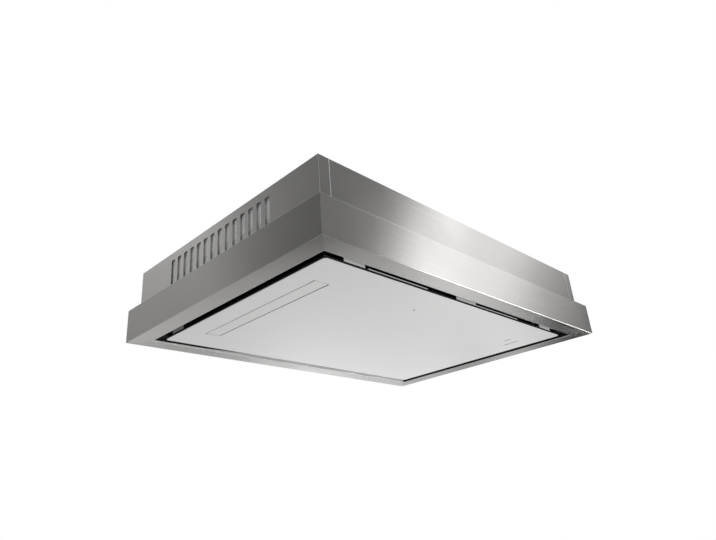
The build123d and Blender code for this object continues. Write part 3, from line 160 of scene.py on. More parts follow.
# Zinc crystals: flat cells of slightly different tone, with a finer set inside them
def makeSpangle():
    group, start, end = startGroup(
        "zincSpangle",
        [("Vector", "NodeSocketVector", None), ("Scale", "NodeSocketFloat", 110.0)],
        [("Tone", "NodeSocketFloat"), ("Height", "NodeSocketFloat")],
    )
    vector = start.outputs["Vector"]
    warp = addNode(
        group, "ShaderNodeTexNoise", {"Vector": vector, "Scale": 60.0, "Detail": 2.0}
    ).outputs["Color"]
    bent = vectorOf(group, "ADD", vector, vectorOf(group, "MULTIPLY", warp, (0.008, 0.008, 0.008)))
    scale = start.outputs["Scale"]
    large = addNode(group, "ShaderNodeTexVoronoi", {"Vector": bent, "Scale": scale})
    finerScale = mathOf(group, "MULTIPLY", scale, 3.1)
    small = addNode(group, "ShaderNodeTexVoronoi", {"Vector": bent, "Scale": finerScale})
    tone = mixColour(group, 0.35, large.outputs["Color"], small.outputs["Color"])
    toneValue = addNode(group, "ShaderNodeSeparateColor", {"Color": tone}).outputs[0]
    group.links.new(toneValue, end.inputs["Tone"])
    group.links.new(large.outputs["Distance"], end.inputs["Height"])
    return group


brushedGrain = makeBrushedGrain()
handlingMarks = makeHandling()
mouldedSkin = makeMouldedSkin()
zincSpangle = makeSpangle()


# Object coordinates, from one node in each material
def objectPlace(tree):
    found = tree.nodes.get("objectPlace")
    if found is None:
        found = addNode(tree, "ShaderNodeTexCoord")
        found.name = "objectPlace"
    return found.outputs["Object"]


# Puts a shared group into a material, on Object coordinates
def placeGroup(tree, group, inputs=None):
    values = {"Vector": objectPlace(tree), **(inputs or {})}
    return addNode(tree, "ShaderNodeGroup", values, node_tree=group)


def startMaterial(name, metallic=0.0, ior=1.5, coat=0.0):
    material = bpy.data.materials.new(name)
    material.use_nodes = True
    shader = material.node_tree.nodes["Principled BSDF"]
    shader.inputs["Metallic"].default_value = metallic
    shader.inputs["IOR"].default_value = ior
    shader.inputs["Coat Weight"].default_value = coat
    return material, material.node_tree, shader


def bumpFrom(tree, shader, height, strength, distance):
    bump = addNode(
        tree, "ShaderNodeBump", {"Height": height, "Strength": strength, "Distance": distance}
    )
    tree.links.new(bump.outputs["Normal"], shader.inputs["Normal"])


stainlessLook = {
    "colour": (0.585, 0.575, 0.560),
    "streakDepth": 0.10,
    "roughLow": 0.18,
    "roughHigh": 0.24,
    "anisotropy": 0.72,
    "grainBump": 0.04,
}


# Brushed stainless sheet. The brushing runs along X, along Y, or level round a corner ("XY");
# the shine is drawn out across it
def brushedStainless(name, along, look=stainlessLook):
    material, tree, shader = startMaterial(name, metallic=1.0)
    fine, coarse, across = {
        "X": ((14.0, 2200.0, 2200.0), (2.6, 380.0, 380.0), (0.0, 1.0, 1.0)),
        "Y": ((2200.0, 14.0, 2200.0), (380.0, 2.6, 380.0), (1.0, 0.0, 1.0)),
        "XY": ((14.0, 14.0, 2200.0), (2.6, 2.6, 380.0), (0.0, 0.0, 1.0)),
    }[along]
    grain = placeGroup(tree, brushedGrain, {"Fine": fine, "Coarse": coarse})
    marks = placeGroup(tree, handlingMarks, {"Blotch Scale": 9.0})
    colour = look["colour"]
    dark, light = toned(colour, 1 - look["streakDepth"]), toned(colour, 1 + look["streakDepth"])
    broad = mathOf(tree, "MULTIPLY", grain.outputs["Streak"], 0.6)
    mixed = mathOf(tree, "ADD", broad, mathOf(tree, "MULTIPLY", grain.outputs["Grain"], 0.4))
    tree.links.new(mixColour(tree, mixed, dark, light), shader.inputs["Base Color"])
    rough = ramped(tree, grain.outputs["Drift"], 0.3, 0.7, look["roughLow"], look["roughHigh"])
    smudge = mathOf(tree, "MULTIPLY", marks.outputs["Blotch"], 0.03)
    tree.links.new(mathOf(tree, "ADD", rough, smudge), shader.inputs["Roughness"])
    shader.inputs["Anisotropic"].default_value = look["anisotropy"]
    direction = addNode(tree, "ShaderNodeCombineXYZ", dict(enumerate(across)))
    tree.links.new(direction.outputs[0], shader.inputs["Tangent"])
    bumpFrom(tree, shader, grain.outputs["Grain"], look["grainBump"], 0.0002)
    return material


# Gives the region of a metal sheet where mask is 1 another colour, with less metal shine
def coatRegion(tree, shader, mask, colour, metallic, rough):
    sheet = shader.inputs["Base Color"].links[0].from_socket
    tree.links.new(mixColour(tree, mask, sheet, colour), shader.inputs["Base Color"])
    bare = shader.inputs["Metallic"].default_value
    tree.links.new(ramped(tree, mask, 0, 1, bare, metallic), shader.inputs["Metallic"])
    bareRough = shader.inputs["Roughness"].links[0].from_socket
    coated = mathOf(tree, "MAXIMUM", bareRough, mathOf(tree, "MULTIPLY", mask, rough))
    tree.links.new(coated, shader.inputs["Roughness"])


hemLook = {
    "opening": {"X": 0.455, "Y": 0.305},
    "sheet": 0.0014,
    "paintedLightTop": -0.1745,
    "climb": None,
    "top": -0.1655,
    "pale": 0.62,
    "black": (0.015, 0.015, 0.016, 1),
}
# The far hem's painted highlight is paler and climbs along X; on the short hems the black painted
# shade comes further down
farHemLook = dict(hemLook, pale=0.85, climb=(-0.33, -0.10, -0.1665))
shortHemLook = dict(hemLook, paintedLightTop=-0.1768)


# The turned-up hem round the opening, below top: pale up to its lit top, a painted highlight,
# and black above, painted shade. With climb = (x from, x to, z) the painted highlight rises
# to that z along X
def paintHemLightAndShade(material, axis, look=hemLook):
    tree = material.node_tree
    inner = look["opening"][axis] + look["sheet"]
    limit, climb = look["paintedLightTop"], look["climb"]
    split = addNode(tree, "ShaderNodeSeparateXYZ", {0: objectPlace(tree)}).outputs
    inward = mathOf(tree, "LESS_THAN", mathOf(tree, "ABSOLUTE", split[axis]), inner)
    hem = mathOf(tree, "MULTIPLY", inward, mathOf(tree, "LESS_THAN", split["Z"], look["top"]))
    if climb:
        limit = ramped(tree, split["X"], climb[0], climb[1], limit, climb[2])
    paintedLight = mathOf(tree, "LESS_THAN", split["Z"], limit)
    colour = mixColour(tree, paintedLight, look["black"], grey(look["pale"]))
    coatRegion(tree, tree.nodes["Principled BSDF"], hem, colour, 0.2, 0.6)


# Painted shade: the short skirts of the rim are darkened to look darker than the flange below them
def paintSkirtShade(material, shade=0.70, low=-0.1772, high=-0.1750):
    tree = material.node_tree
    shader = tree.nodes["Principled BSDF"]
    height = addNode(tree, "ShaderNodeSeparateXYZ", {0: objectPlace(tree)}).outputs["Z"]
    depth = ramped(tree, height, low, high, 1.0, shade)
    sheet = shader.inputs["Base Color"].links[0].from_socket
    shaded = mixColour(tree, 1.0, sheet, depth, "MULTIPLY")
    tree.links.new(shaded, shader.inputs["Base Color"])


# Painted highlight: a pale line along a seam, where |axis| is within half of place
def paintSeamHighlight(material, axis, place, half=0.0008):
    tree = material.node_tree
    split = addNode(tree, "ShaderNodeSeparateXYZ", {0: objectPlace(tree)}).outputs
    away = mathOf(tree, "SUBTRACT", mathOf(tree, "ABSOLUTE", split[axis]), place)
    line = mathOf(tree, "LESS_THAN", mathOf(tree, "ABSOLUTE", away), half)
    coatRegion(tree, tree.nodes["Principled BSDF"], line, (0.90, 0.90, 0.89, 1), 0.2, 0.4)


# Painted shade: outside halfX and halfY the tray's edge is painted black, where the gap's shade
# falls
def shadeTrayEdge(material, halfX, halfY):
    tree = material.node_tree
    split = addNode(tree, "ShaderNodeSeparateXYZ", {0: objectPlace(tree)}).outputs
    beyondX = mathOf(tree, "GREATER_THAN", mathOf(tree, "ABSOLUTE", split["X"]), halfX)
    beyondY = mathOf(tree, "GREATER_THAN", mathOf(tree, "ABSOLUTE", split["Y"]), halfY)
    edge = mathOf(tree, "MAXIMUM", beyondX, beyondY)
    coatRegion(tree, tree.nodes["Principled BSDF"], edge, (0.012, 0.012, 0.012, 1), 0.0, 0.7)


# Below top the body is black: black spray inside it, and painted shade so that nothing shines
# through the air gap
def blackenLowPaintAndShade(material, top=-0.128):
    tree = material.node_tree
    height = addNode(tree, "ShaderNodeSeparateXYZ", {0: objectPlace(tree)}).outputs["Z"]
    uneven = mathOf(tree, "MULTIPLY", noiseOf(tree, objectPlace(tree), 40.0), 0.006)
    low = mathOf(tree, "LESS_THAN", mathOf(tree, "ADD", height, uneven), top)
    coatRegion(tree, tree.nodes["Principled BSDF"], low, (0.012, 0.012, 0.013, 1), 0.0, 0.75)


# Hot-dipped sheet with its crystals
def galvanisedSheet(name, colour=(0.50, 0.52, 0.54), depth=0.22, rough=0.38):
    material, tree, shader = startMaterial(name, metallic=0.9)
    spangle = placeGroup(tree, zincSpangle)
    marks = placeGroup(tree, handlingMarks, {"Blotch Scale": 18.0})
    tinted = mixColour(
        tree, spangle.outputs["Tone"], toned(colour, 1 - depth), toned(colour, 1 + depth)
    )
    dust = mathOf(tree, "MULTIPLY", marks.outputs["Blotch"], 0.18)
    dusty = mixColour(tree, dust, tinted, grey(0.36))
    tree.links.new(dusty, shader.inputs["Base Color"])
    roughness = ramped(tree, spangle.outputs["Tone"], 0.0, 1.0, rough - 0.08, rough + 0.10)
    tree.links.new(roughness, shader.inputs["Roughness"])
    bumpFrom(tree, shader, spangle.outputs["Height"], 0.12, 0.0006)
    return material


# Turned or plated steel for pins, screws and brackets
def platedSteel(name, colour=(0.62, 0.61, 0.57), rough=0.30):
    material, tree, shader = startMaterial(name, metallic=1.0)
    skin = placeGroup(tree, mouldedSkin, {"Scale": 2600.0})
    marks = placeGroup(tree, handlingMarks, {"Blotch Scale": 60.0, "Speck Scale": 2500.0})
    tinted = mixColour(tree, skin.outputs["Mottle"], toned(colour, 0.78), toned(colour, 1.08))
    wear = mathOf(tree, "MULTIPLY", marks.outputs["Speck"], 0.5)
    worn = mixColour(tree, wear, tinted, grey(0.30))
    tree.links.new(worn, shader.inputs["Base Color"])
    roughness = ramped(tree, marks.outputs["Blotch"], 0.0, 1.0, rough - 0.06, rough + 0.14)
    tree.links.new(roughness, shader.inputs["Roughness"])
    bumpFrom(tree, shader, skin.outputs["Height"], 0.10, 0.00015)
    return material


# Moulded plastic or rubber: pimpled skin, slow mottle, a little dust
def mouldedPlastic(name, colour, rough=0.45, grain=1400.0, bump=0.18, dust=0.10):
    material, tree, shader = startMaterial(name)
    skin = placeGroup(tree, mouldedSkin, {"Scale": grain})
    marks = placeGroup(tree, handlingMarks, {"Blotch Scale": 26.0})
    dark, light = toned(colour, 0.86), toned(colour, 1.10, 0.004)
    tinted = mixColour(tree, skin.outputs["Mottle"], dark, light)
    settled = mathOf(tree, "MULTIPLY", marks.outputs["Blotch"], dust)
    dusty = mixColour(tree, settled, tinted, (0.42, 0.41, 0.39, 1))
    tree.links.new(dusty, shader.inputs["Base Color"])
    roughness = ramped(tree, skin.outputs["Mottle"], 0.3, 0.7, rough - 0.05, rough + 0.07)
    tree.links.new(roughness, shader.inputs["Roughness"])
    bumpFrom(tree, shader, skin.outputs["Height"], bump, 0.0003)
    return material


# Baked powder paint: orange-peel skin
def powderPaint(name, colour, rough=0.42, peel=520.0, bump=0.12, speck=0.0):
    material, tree, shader = startMaterial(name)
    skin = placeGroup(tree, mouldedSkin, {"Scale": peel})
    marks = placeGroup(tree, handlingMarks, {"Blotch Scale": 12.0, "Speck Scale": 1500.0})
    dark, light = toned(colour, 0.95), toned(colour, 1.04, 0.002)
    tinted = mixColour(tree, skin.outputs["Mottle"], dark, light)
    flecks = mathOf(tree, "MULTIPLY", marks.outputs["Speck"], speck)
    flecked = mixColour(tree, flecks, tinted, grey(0.22))
    tree.links.new(flecked, shader.inputs["Base Color"])
    roughness = ramped(tree, marks.outputs["Blotch"], 0.0, 1.0, rough - 0.04, rough + 0.06)
    tree.links.new(roughness, shader.inputs["Roughness"])
    bumpFrom(tree, shader, skin.outputs["Height"], bump, 0.0004)
    return material


# Closed-cell foam: pores of two sizes, darkened in their pits as painted shade
def poreFoam(name, colour=(0.028, 0.028, 0.030)):
    material, tree, shader = startMaterial(name)
    place = objectPlace(tree)
    pores, tiny = (
        addNode(tree, "ShaderNodeTexVoronoi", {"Vector": place, "Scale": scale}).outputs["Distance"]
        for scale in (900.0, 2300.0)
    )
    height = mathOf(tree, "ADD", pores, mathOf(tree, "MULTIPLY", tiny, 0.4))
    pitShade = ramped(tree, height, 0.25, 0.8, 0.45, 1.0)
    tinted = mixColour(tree, pitShade, toned(colour, 0.35), toned(colour, 1))
    tree.links.new(tinted, shader.inputs["Base Color"])
    tree.links.new(ramped(tree, pores, 0.0, 0.6, 0.95, 0.78), shader.inputs["Roughness"])
    bumpFrom(tree, shader, height, 0.5, 0.0008)
    return material


panelLook = {
    "colour": (0.80, 0.80, 0.795),
    # edge, groove and borderDepth are painted shade: near-black cut sides, grey groove sides, and a
    # grey border round the groove, deepest at its near end
    "edge": (0.030, 0.034, 0.032),
    "groove": (0.16, 0.16, 0.16),
    "grooveMiddle": -0.3615,
    "grooveHalf": (0.0190, 0.1952),
    "border": 0.0011,
    "borderDepth": (0.95, 0.45, 0.25),
    "nearFade": (-0.178, -0.165),
    "roughness": 0.20,
}


# White glass, painted on its back: a clear skin over white; its cut sides are near black,
# green-tinted painted shade
def paintedGlass(name, look=panelLook):
    material, tree, shader = startMaterial(name, ior=1.5)
    marks = placeGroup(tree, handlingMarks, {"Blotch Scale": 5.0})
    skin = placeGroup(tree, mouldedSkin, {"Scale": 30.0})
    cooler, white = toned(look["colour"], 0.985), toned(look["colour"], 1)
    tinted = mixColour(tree, skin.outputs["Mottle"], cooler, white)
    normal = addNode(tree, "ShaderNodeNewGeometry").outputs["True Normal"]
    facing = addNode(tree, "ShaderNodeSeparateXYZ", {0: normal}).outputs["Z"]
    upright = ramped(tree, mathOf(tree, "ABSOLUTE", facing), 0.05, 0.5, 1.0, 0.0)
    split = addNode(tree, "ShaderNodeSeparateXYZ", {0: objectPlace(tree)}).outputs
    offMiddle = mathOf(tree, "SUBTRACT", split["X"], look["grooveMiddle"])
    fromMiddle = mathOf(tree, "ABSOLUTE", offMiddle)
    halfX, halfY = look["grooveHalf"]
    alongside = mathOf(tree, "LESS_THAN", mathOf(tree, "ABSOLUTE", split["Y"]), halfY)
    inGroove = mathOf(tree, "MULTIPLY", mathOf(tree, "LESS_THAN", fromMiddle, halfX), alongside)
    inBorder = mathOf(tree, "LESS_THAN", fromMiddle, halfX + look["border"])
    nearDepth, middleDepth, farDepth = look["borderDepth"]
    depth = mathOf(
        tree, "MAXIMUM",
        ramped(tree, split["Y"], *look["nearFade"], nearDepth, 0.0),
        ramped(tree, split["Y"], -halfY, halfY, middleDepth, farDepth),
    )
    # Painted shade on the groove's border, deepest at the near end and fading along Y
    borderShade = mathOf(tree, "MULTIPLY", mathOf(tree, "MULTIPLY", inBorder, alongside), depth)
    groove = toned(look["groove"], 1)
    face = mixColour(tree, borderShade, tinted, groove)
    edge = mixColour(tree, inGroove, toned(look["edge"], 1), groove)
    tree.links.new(mixColour(tree, upright, face, edge), shader.inputs["Base Color"])
    smears = mathOf(tree, "MULTIPLY", marks.outputs["Blotch"], 0.035)
    tree.links.new(mathOf(tree, "ADD", smears, look["roughness"]), shader.inputs["Roughness"])
    return material


# Opal diffuser: milky, with a fine frosted skin, and its long sides painted grey as shade
def opalDiffuser(name):
    material, tree, shader = startMaterial(name, ior=1.49)
    skin = placeGroup(tree, mouldedSkin, {"Scale": 1800.0})
    marks = placeGroup(tree, handlingMarks, {"Blotch Scale": 16.0})
    milky = mixColour(tree, skin.outputs["Mottle"], (0.76, 0.76, 0.75, 1), (0.80, 0.80, 0.79, 1))
    normal = addNode(tree, "ShaderNodeNewGeometry").outputs["True Normal"]
    sideways = addNode(tree, "ShaderNodeSeparateXYZ", {0: normal}).outputs["X"]
    side = ramped(tree, mathOf(tree, "ABSOLUTE", sideways), 0.5, 0.9)
    # The long sides, facing X, are painted grey as shade
    tree.links.new(mixColour(tree, side, milky, grey(0.22)), shader.inputs["Base Color"])
    frosting = ramped(tree, marks.outputs["Blotch"], 0, 1, 0.34, 0.42)
    tree.links.new(frosting, shader.inputs["Roughness"])
    bumpFrom(tree, shader, skin.outputs["Height"], 0.06, 0.0002)
    return material


# Smoky clear plastic over the sensors
def smokedWindow(name):
    material, tree, shader = startMaterial(name, ior=1.49)
    marks = placeGroup(tree, handlingMarks, {"Blotch Scale": 70.0, "Speck Scale": 2500.0})
    smoke = mixColour(tree, marks.outputs["Blotch"], grey(0.27), grey(0.31))
    tree.links.new(smoke, shader.inputs["Base Color"])
    roughness = ramped(tree, marks.outputs["Speck"], 0, 1, 0.10, 0.30)
    tree.links.new(roughness, shader.inputs["Roughness"])
    return material


# Stack of stamped iron sheets, lacquered
def laminatedIron(name):
    material, tree, shader = startMaterial(name, metallic=0.7)
    place = objectPlace(tree)
    height = addNode(tree, "ShaderNodeSeparateXYZ", {0: place}).outputs["Z"]
    sheets = mathOf(tree, "PINGPONG", mathOf(tree, "MULTIPLY", height, 2000.0), 1.0)
    marks = placeGroup(tree, handlingMarks, {"Blotch Scale": 90.0})
    tone = mixColour(tree, sheets, (0.16, 0.15, 0.15, 1), (0.34, 0.33, 0.32, 1))
    rust = mathOf(tree, "MULTIPLY", marks.outputs["Blotch"], 0.3)
    rusty = mixColour(tree, rust, tone, (0.20, 0.12, 0.08, 1))
    tree.links.new(rusty, shader.inputs["Base Color"])
    tree.links.new(ramped(tree, sheets, 0, 1, 0.55, 0.35), shader.inputs["Roughness"])
    bumpFrom(tree, shader, sheets, 0.3, 0.0002)
    return material


# Broken charcoal: crowded grains, black with a faint sheen, darker between the grains as painted
# shade
def charcoalGrains(name):
    material, tree, shader = startMaterial(name)
    place = objectPlace(tree)
    grains = addNode(tree, "ShaderNodeTexVoronoi", {"Vector": place, "Scale": 330.0})
    crumbs = noiseOf(tree, place, 1500.0, 3.0, 0.6)
    lump = mathOf(tree, "SUBTRACT", 1.0, grains.outputs["Distance"])
    # Painted shade: the tone falls off towards the edges of each grain
    tone = ramped(tree, lump, 0.2, 0.9)
    tree.links.new(mixColour(tree, tone, grey(0.006), grey(0.045)), shader.inputs["Base Color"])
    tree.links.new(ramped(tree, crumbs, 0.3, 0.7, 0.55, 0.9), shader.inputs["Roughness"])
    height = mathOf(tree, "ADD", lump, mathOf(tree, "MULTIPLY", crumbs, 0.2))
    bumpFrom(tree, shader, height, 0.9, 0.002)
    return material


# Circuit board: green lacquer with copper tracks on the sheet, darker blocks below it
def circuitLacquer(name, boardLow):
    material, tree, shader = startMaterial(name)
    place = objectPlace(tree)
    height = addNode(tree, "ShaderNodeSeparateXYZ", {0: place}).outputs["Z"]
    block = ramped(tree, height, boardLow - 0.0004, boardLow, 1.0, 0.0)
    tracks = addNode(
        tree,
        "ShaderNodeTexBrick",
        {
            "Vector": place, "Scale": 160.0, "Color1": grey(0.0), "Color2": grey(0.2),
            "Mortar": grey(1.0), "Mortar Size": 0.035, "Brick Width": 0.9, "Row Height": 0.32,
        },
    ).outputs["Fac"]
    skin = placeGroup(tree, mouldedSkin, {"Scale": 900.0})
    lacquer = mixColour(tree, tracks, (0.012, 0.085, 0.035, 1), (0.05, 0.17, 0.07, 1))
    blocks = mixColour(tree, skin.outputs["Mottle"], (0.02, 0.02, 0.022, 1), (0.07, 0.07, 0.08, 1))
    tree.links.new(mixColour(tree, block, lacquer, blocks), shader.inputs["Base Color"])
    tree.links.new(ramped(tree, block, 0, 1, 0.30, 0.55), shader.inputs["Roughness"])
    bumpFrom(tree, shader, tracks, 0.2, 0.0001)
    return material


# White light board with a row of yellow lamps along Y
def lampBoard(name, pitch=0.020, half=0.0017):
    material, tree, shader = startMaterial(name)
    place = objectPlace(tree)
    split = addNode(tree, "ShaderNodeSeparateXYZ", {0: place}).outputs
    offMiddle = mathOf(tree, "SUBTRACT", split["X"], panelLook["grooveMiddle"])
    across = mathOf(tree, "ABSOLUTE", offMiddle)
    along = mathOf(tree, "PINGPONG", mathOf(tree, "ADD", split["Y"], 1.0), pitch / 2)
    offCentre = mathOf(tree, "SUBTRACT", pitch / 2, along)
    lamp = mathOf(
        tree, "MULTIPLY",
        mathOf(tree, "LESS_THAN", across, half), mathOf(tree, "LESS_THAN", offCentre, half),
    )
    skin = placeGroup(tree, mouldedSkin, {"Scale": 1500.0})
    mask = mixColour(tree, skin.outputs["Mottle"], grey(0.72), grey(0.78))
    tree.links.new(mixColour(tree, lamp, mask, (0.80, 0.62, 0.12, 1)), shader.inputs["Base Color"])
    tree.links.new(ramped(tree, lamp, 0, 1, 0.35, 0.2), shader.inputs["Roughness"])
    bumpFrom(tree, shader, skin.outputs["Height"], 0.08, 0.0002)
    return material


print("Finishes: building materials")
# One stainless, made lighter on the rim and darker on the casing as painted light and shade
rimLitLook = dict(stainlessLook, colour=(0.615, 0.605, 0.590))
casingShadedLook = dict(stainlessLook, colour=(0.545, 0.535, 0.525))
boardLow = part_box("circuit_board")[1].z - 0.0016
finishes = {
    "stainlessLong": brushedStainless("stainlessLong", "X", rimLitLook),
    "stainlessFar": brushedStainless("stainlessFar", "X", rimLitLook),
    "stainlessShort": brushedStainless("stainlessShort", "Y"),
    "stainlessWrap": brushedStainless("stainlessWrap", "XY", casingShadedLook),
    "galvanised": galvanisedSheet("galvanised"),
    "shellSheet": galvanisedSheet("shellSheet"),
    "zincScrews": platedSteel("zincScrews"),
    "hingeSteel": platedSteel("hingeSteel", (0.58, 0.58, 0.57), 0.34),
    "sealFoam": poreFoam("sealFoam"),
    "blackPaint": powderPaint("blackPaint", (0.016, 0.016, 0.017), 0.55, 700.0, 0.16, speck=0.25),
    "filterFrame": brushedStainless("filterFrame", "Y"),
    "latchPlastic": mouldedPlastic("latchPlastic", (0.035, 0.036, 0.038), 0.42),
    "scrollPlastic": mouldedPlastic("scrollPlastic", (0.055, 0.057, 0.062), 0.46),
    "mountRubber": mouldedPlastic("mountRubber", (0.018, 0.018, 0.018), 0.70, 1900.0, 0.25),
    "cassettePlastic": mouldedPlastic("cassettePlastic", (0.022, 0.023, 0.024), 0.48),
    "charcoalGrains": charcoalGrains("charcoalGrains"),
    "wheelPlastic": mouldedPlastic("wheelPlastic", (0.030, 0.031, 0.034), 0.40),
    "motorIron": laminatedIron("motorIron"),
    "motorSteel": platedSteel("motorSteel", (0.42, 0.43, 0.45), 0.28),
    "ductPlastic": mouldedPlastic("ductPlastic", (0.10, 0.105, 0.11), 0.50),
    "circuitLacquer": circuitLacquer("circuitLacquer", boardLow),
    "driverCase": powderPaint("driverCase", (0.70, 0.70, 0.68), 0.40),
    "glandNylon": mouldedPlastic("glandNylon", (0.22, 0.225, 0.23), 0.42),
    "rockerPlastic": mouldedPlastic("rockerPlastic", (0.040, 0.040, 0.042), 0.33, 1800.0, 0.10),
    "panelGlass": paintedGlass("panelGlass"),
    "trayPaint": powderPaint("trayPaint", (0.78, 0.78, 0.77), 0.38),
    "tabPaint": powderPaint("tabPaint", (0.92, 0.92, 0.91), 0.36),
    "opalDiffuser": opalDiffuser("opalDiffuser"),
    "channelMetal": galvanisedSheet("channelMetal", (0.66, 0.67, 0.68), 0.08, 0.34),
    "lampBoard": lampBoard("lampBoard"),
    "smokedWindow": smokedWindow("smokedWindow"),
    "sensorPlastic": mouldedPlastic("sensorPlastic", (0.025, 0.025, 0.027), 0.5),
    "catchPlastic": mouldedPlastic("catchPlastic", (0.60, 0.60, 0.585), 0.40),
    "catchMagnet": platedSteel("catchMagnet", (0.50, 0.51, 0.53), 0.25),
}

paintHemLightAndShade(finishes["stainlessLong"], "Y")
paintHemLightAndShade(finishes["stainlessFar"], "Y", farHemLook)
paintHemLightAndShade(finishes["stainlessShort"], "X", shortHemLook)
paintSkirtShade(finishes["stainlessShort"])
casingSeam = 0.4533  # from the casing's middle, along X
paintSeamHighlight(finishes["stainlessWrap"], "X", casingSeam)
blackenLowPaintAndShade(finishes["shellSheet"])
# Width of the tray's edge painted black as shade
shadedEdgeWidth = 0.001
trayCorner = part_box("panel_tray")[1]
shadeTrayEdge(finishes["trayPaint"], trayCorner.x - shadedEdgeWidth, trayCorner.y - shadedEdgeWidth)

partFinishes = {
    "stainlessLong": ("rim_front",),
    "stainlessFar": ("rim_back",),
    "stainlessShort": ("rim_left", "rim_right"),
    "stainlessWrap": ("casing_front", "casing_back", "casing_left", "casing_right"),
    "galvanised": (
        "rim_gussets", "seam_strips", "ceiling_rail_front", "ceiling_rail_back",
        "ceiling_rail_left", "ceiling_rail_right", "hanger_brackets",
        "control_box", "control_lid", "outlet_mesh_left", "outlet_mesh_right",
    ),
    "shellSheet": ("body_shell",),
    "zincScrews": ("screws",),
    "hingeSteel": ("hinge_brackets", "hinge_leaves", "hinge_pins"),
    "sealFoam": ("intake_gasket",),
    "blackPaint": ("intake_plate",),
    "filterFrame": (
        "filter_frame_left", "filter_frame_right", "filter_mesh_left", "filter_mesh_right",
    ),
    "latchPlastic": ("filter_latch_left", "filter_latch_right", "switch_housing"),
    "scrollPlastic": ("volute_lower", "volute_upper", "inlet_ring"),
    "mountRubber": ("blower_mounts",),
    "cassettePlastic": ("carbon_cassette",),
    "charcoalGrains": ("charcoal",),
    "wheelPlastic": ("impeller",),
    "motorIron": ("motor_stator",),
    "motorSteel": ("motor_rotor", "motor_shaft"),
    "ductPlastic": ("outlet_duct", "backdraft_flap"),
    "circuitLacquer": ("circuit_board",),
    "driverCase": ("light_driver",),
    "glandNylon": ("cable_gland",),
    "rockerPlastic": ("switch_rocker",),
    "panelGlass": ("panel_glass",),
    "trayPaint": ("panel_tray",),
    "tabPaint": ("panel_tabs",),
    "opalDiffuser": ("light_diffuser",),
    "channelMetal": ("light_channel",),
    "lampBoard": ("light_board",),
    "smokedWindow": ("sensor_windows",),
    "sensorPlastic": ("sensor_units",),
    "catchPlastic": ("catch_bodies",),
    "catchMagnet": ("catch_plunger_left", "catch_plunger_right"),
}
for finish, partNames in partFinishes.items():
    for partName in partNames:
        slots = nodes[partName].data.materials
        slots.clear()
        slots.append(finishes[finish])

dressed = {name for partNames in partFinishes.values() for name in partNames}
print("Finishes: parts without one", sorted(set(nodes) - dressed))


def addPiece(name, points, faces, material):
    mesh = bpy.data.meshes.new(name)
    mesh.from_pydata(points.tolist(), [], faces.tolist() if hasattr(faces, "tolist") else faces)
    mesh.update()
    mesh.materials.append(material)
    piece = bpy.data.objects.new(name, mesh)
    bpy.context.scene.collection.objects.link(piece)
    return piece


screenSizes = {
    "pitch": 0.0040,
    "holeRadius": 0.00115,
    "sheet": 0.0008,
}


# Perforated tray standing in a YZ plane. Each cell is a square with a round hole: eight points
# on the square at 45 degree steps are joined to eight on the circle r (cos a, sin a). Odd rows
# are moved half a pitch, half cells without a hole fill their ends, and four walls go round it.
def perforatedScreen(low, high, fieldX, edgeX, sizes=screenSizes):
    columns = int((high.y - low.y) / sizes["pitch"])
    rows = int((high.z - low.z) / sizes["pitch"])
    pitchY = (high.y - low.y) / columns
    pitchZ = (high.z - low.z) / rows
    turn = np.arange(8) * np.pi / 4
    square = np.stack([np.sign(np.round(np.cos(turn), 6)), np.sign(np.round(np.sin(turn), 6))], 1)
    square = square * [pitchY / 2, pitchZ / 2]
    circle = np.stack([np.cos(turn), np.sin(turn)], 1) * sizes["holeRadius"]
    cell = np.concatenate([square, circle])
    column, row = np.meshgrid(np.arange(columns), np.arange(rows))
    shift = (row % 2) * 0.5
    keep = (shift == 0) | (column < columns - 1)
    middleY = low.y + (column + 0.5 + shift)[keep] * pitchY
    middleZ = low.z + (row + 0.5)[keep] * pitchZ
    flat = np.stack([middleY, middleZ], 1)[:, None, :] + cell[None]
    count = len(flat)
    points = [np.concatenate([np.full((count * 16, 1), fieldX), flat.reshape(-1, 2)], 1)]
    step = np.arange(8)
    ring = np.stack([step, (step + 1) % 8, (step + 1) % 8 + 8, step + 8], 1)
    faces = (ring[None] + 16 * np.arange(count)[:, None, None]).reshape(-1, 4).tolist()
    total = count * 16
    oddZ = low.z + (np.arange(1, rows, 2) + 0.5) * pitchZ
    for edge, side in ((low.y, 1), (high.y, -1)):
        inner = edge + side * pitchY / 2
        outline = np.array([[edge, -1], [inner, -1], [inner, 0], [inner, 1], [edge, 1]])
        ends = np.repeat(outline[None], len(oddZ), 0)
        ends[:, :, 1] = ends[:, :, 1] * pitchZ / 2 + oddZ[:, None]
        depths = np.full((len(oddZ) * 5, 1), fieldX)
        points.append(np.concatenate([depths, ends.reshape(-1, 2)], 1))
        order = [0, 1, 2, 3, 4] if side > 0 else [4, 3, 2, 1, 0]
        faces += [[total + 5 * k + o for o in order] for k in range(len(oddZ))]
        total += len(oddZ) * 5
    corners = np.array([[low.y, low.z], [high.y, low.z], [high.y, high.z], [low.y, high.z]])
    for depth in (fieldX, edgeX):
        points.append(np.concatenate([np.full((4, 1), depth), corners], 1))
    faces += [
        [total + k, total + 4 + k, total + 4 + (k + 1) % 4, total + (k + 1) % 4] for k in range(4)
    ]
    return np.concatenate(points), faces


def weldPoints(piece, distance=0.00001):
    shape = bmesh.new()
    shape.from_mesh(piece.data)
    bmesh.ops.remove_doubles(shape, verts=shape.verts, dist=distance)
    shape.to_mesh(piece.data)
    shape.free()


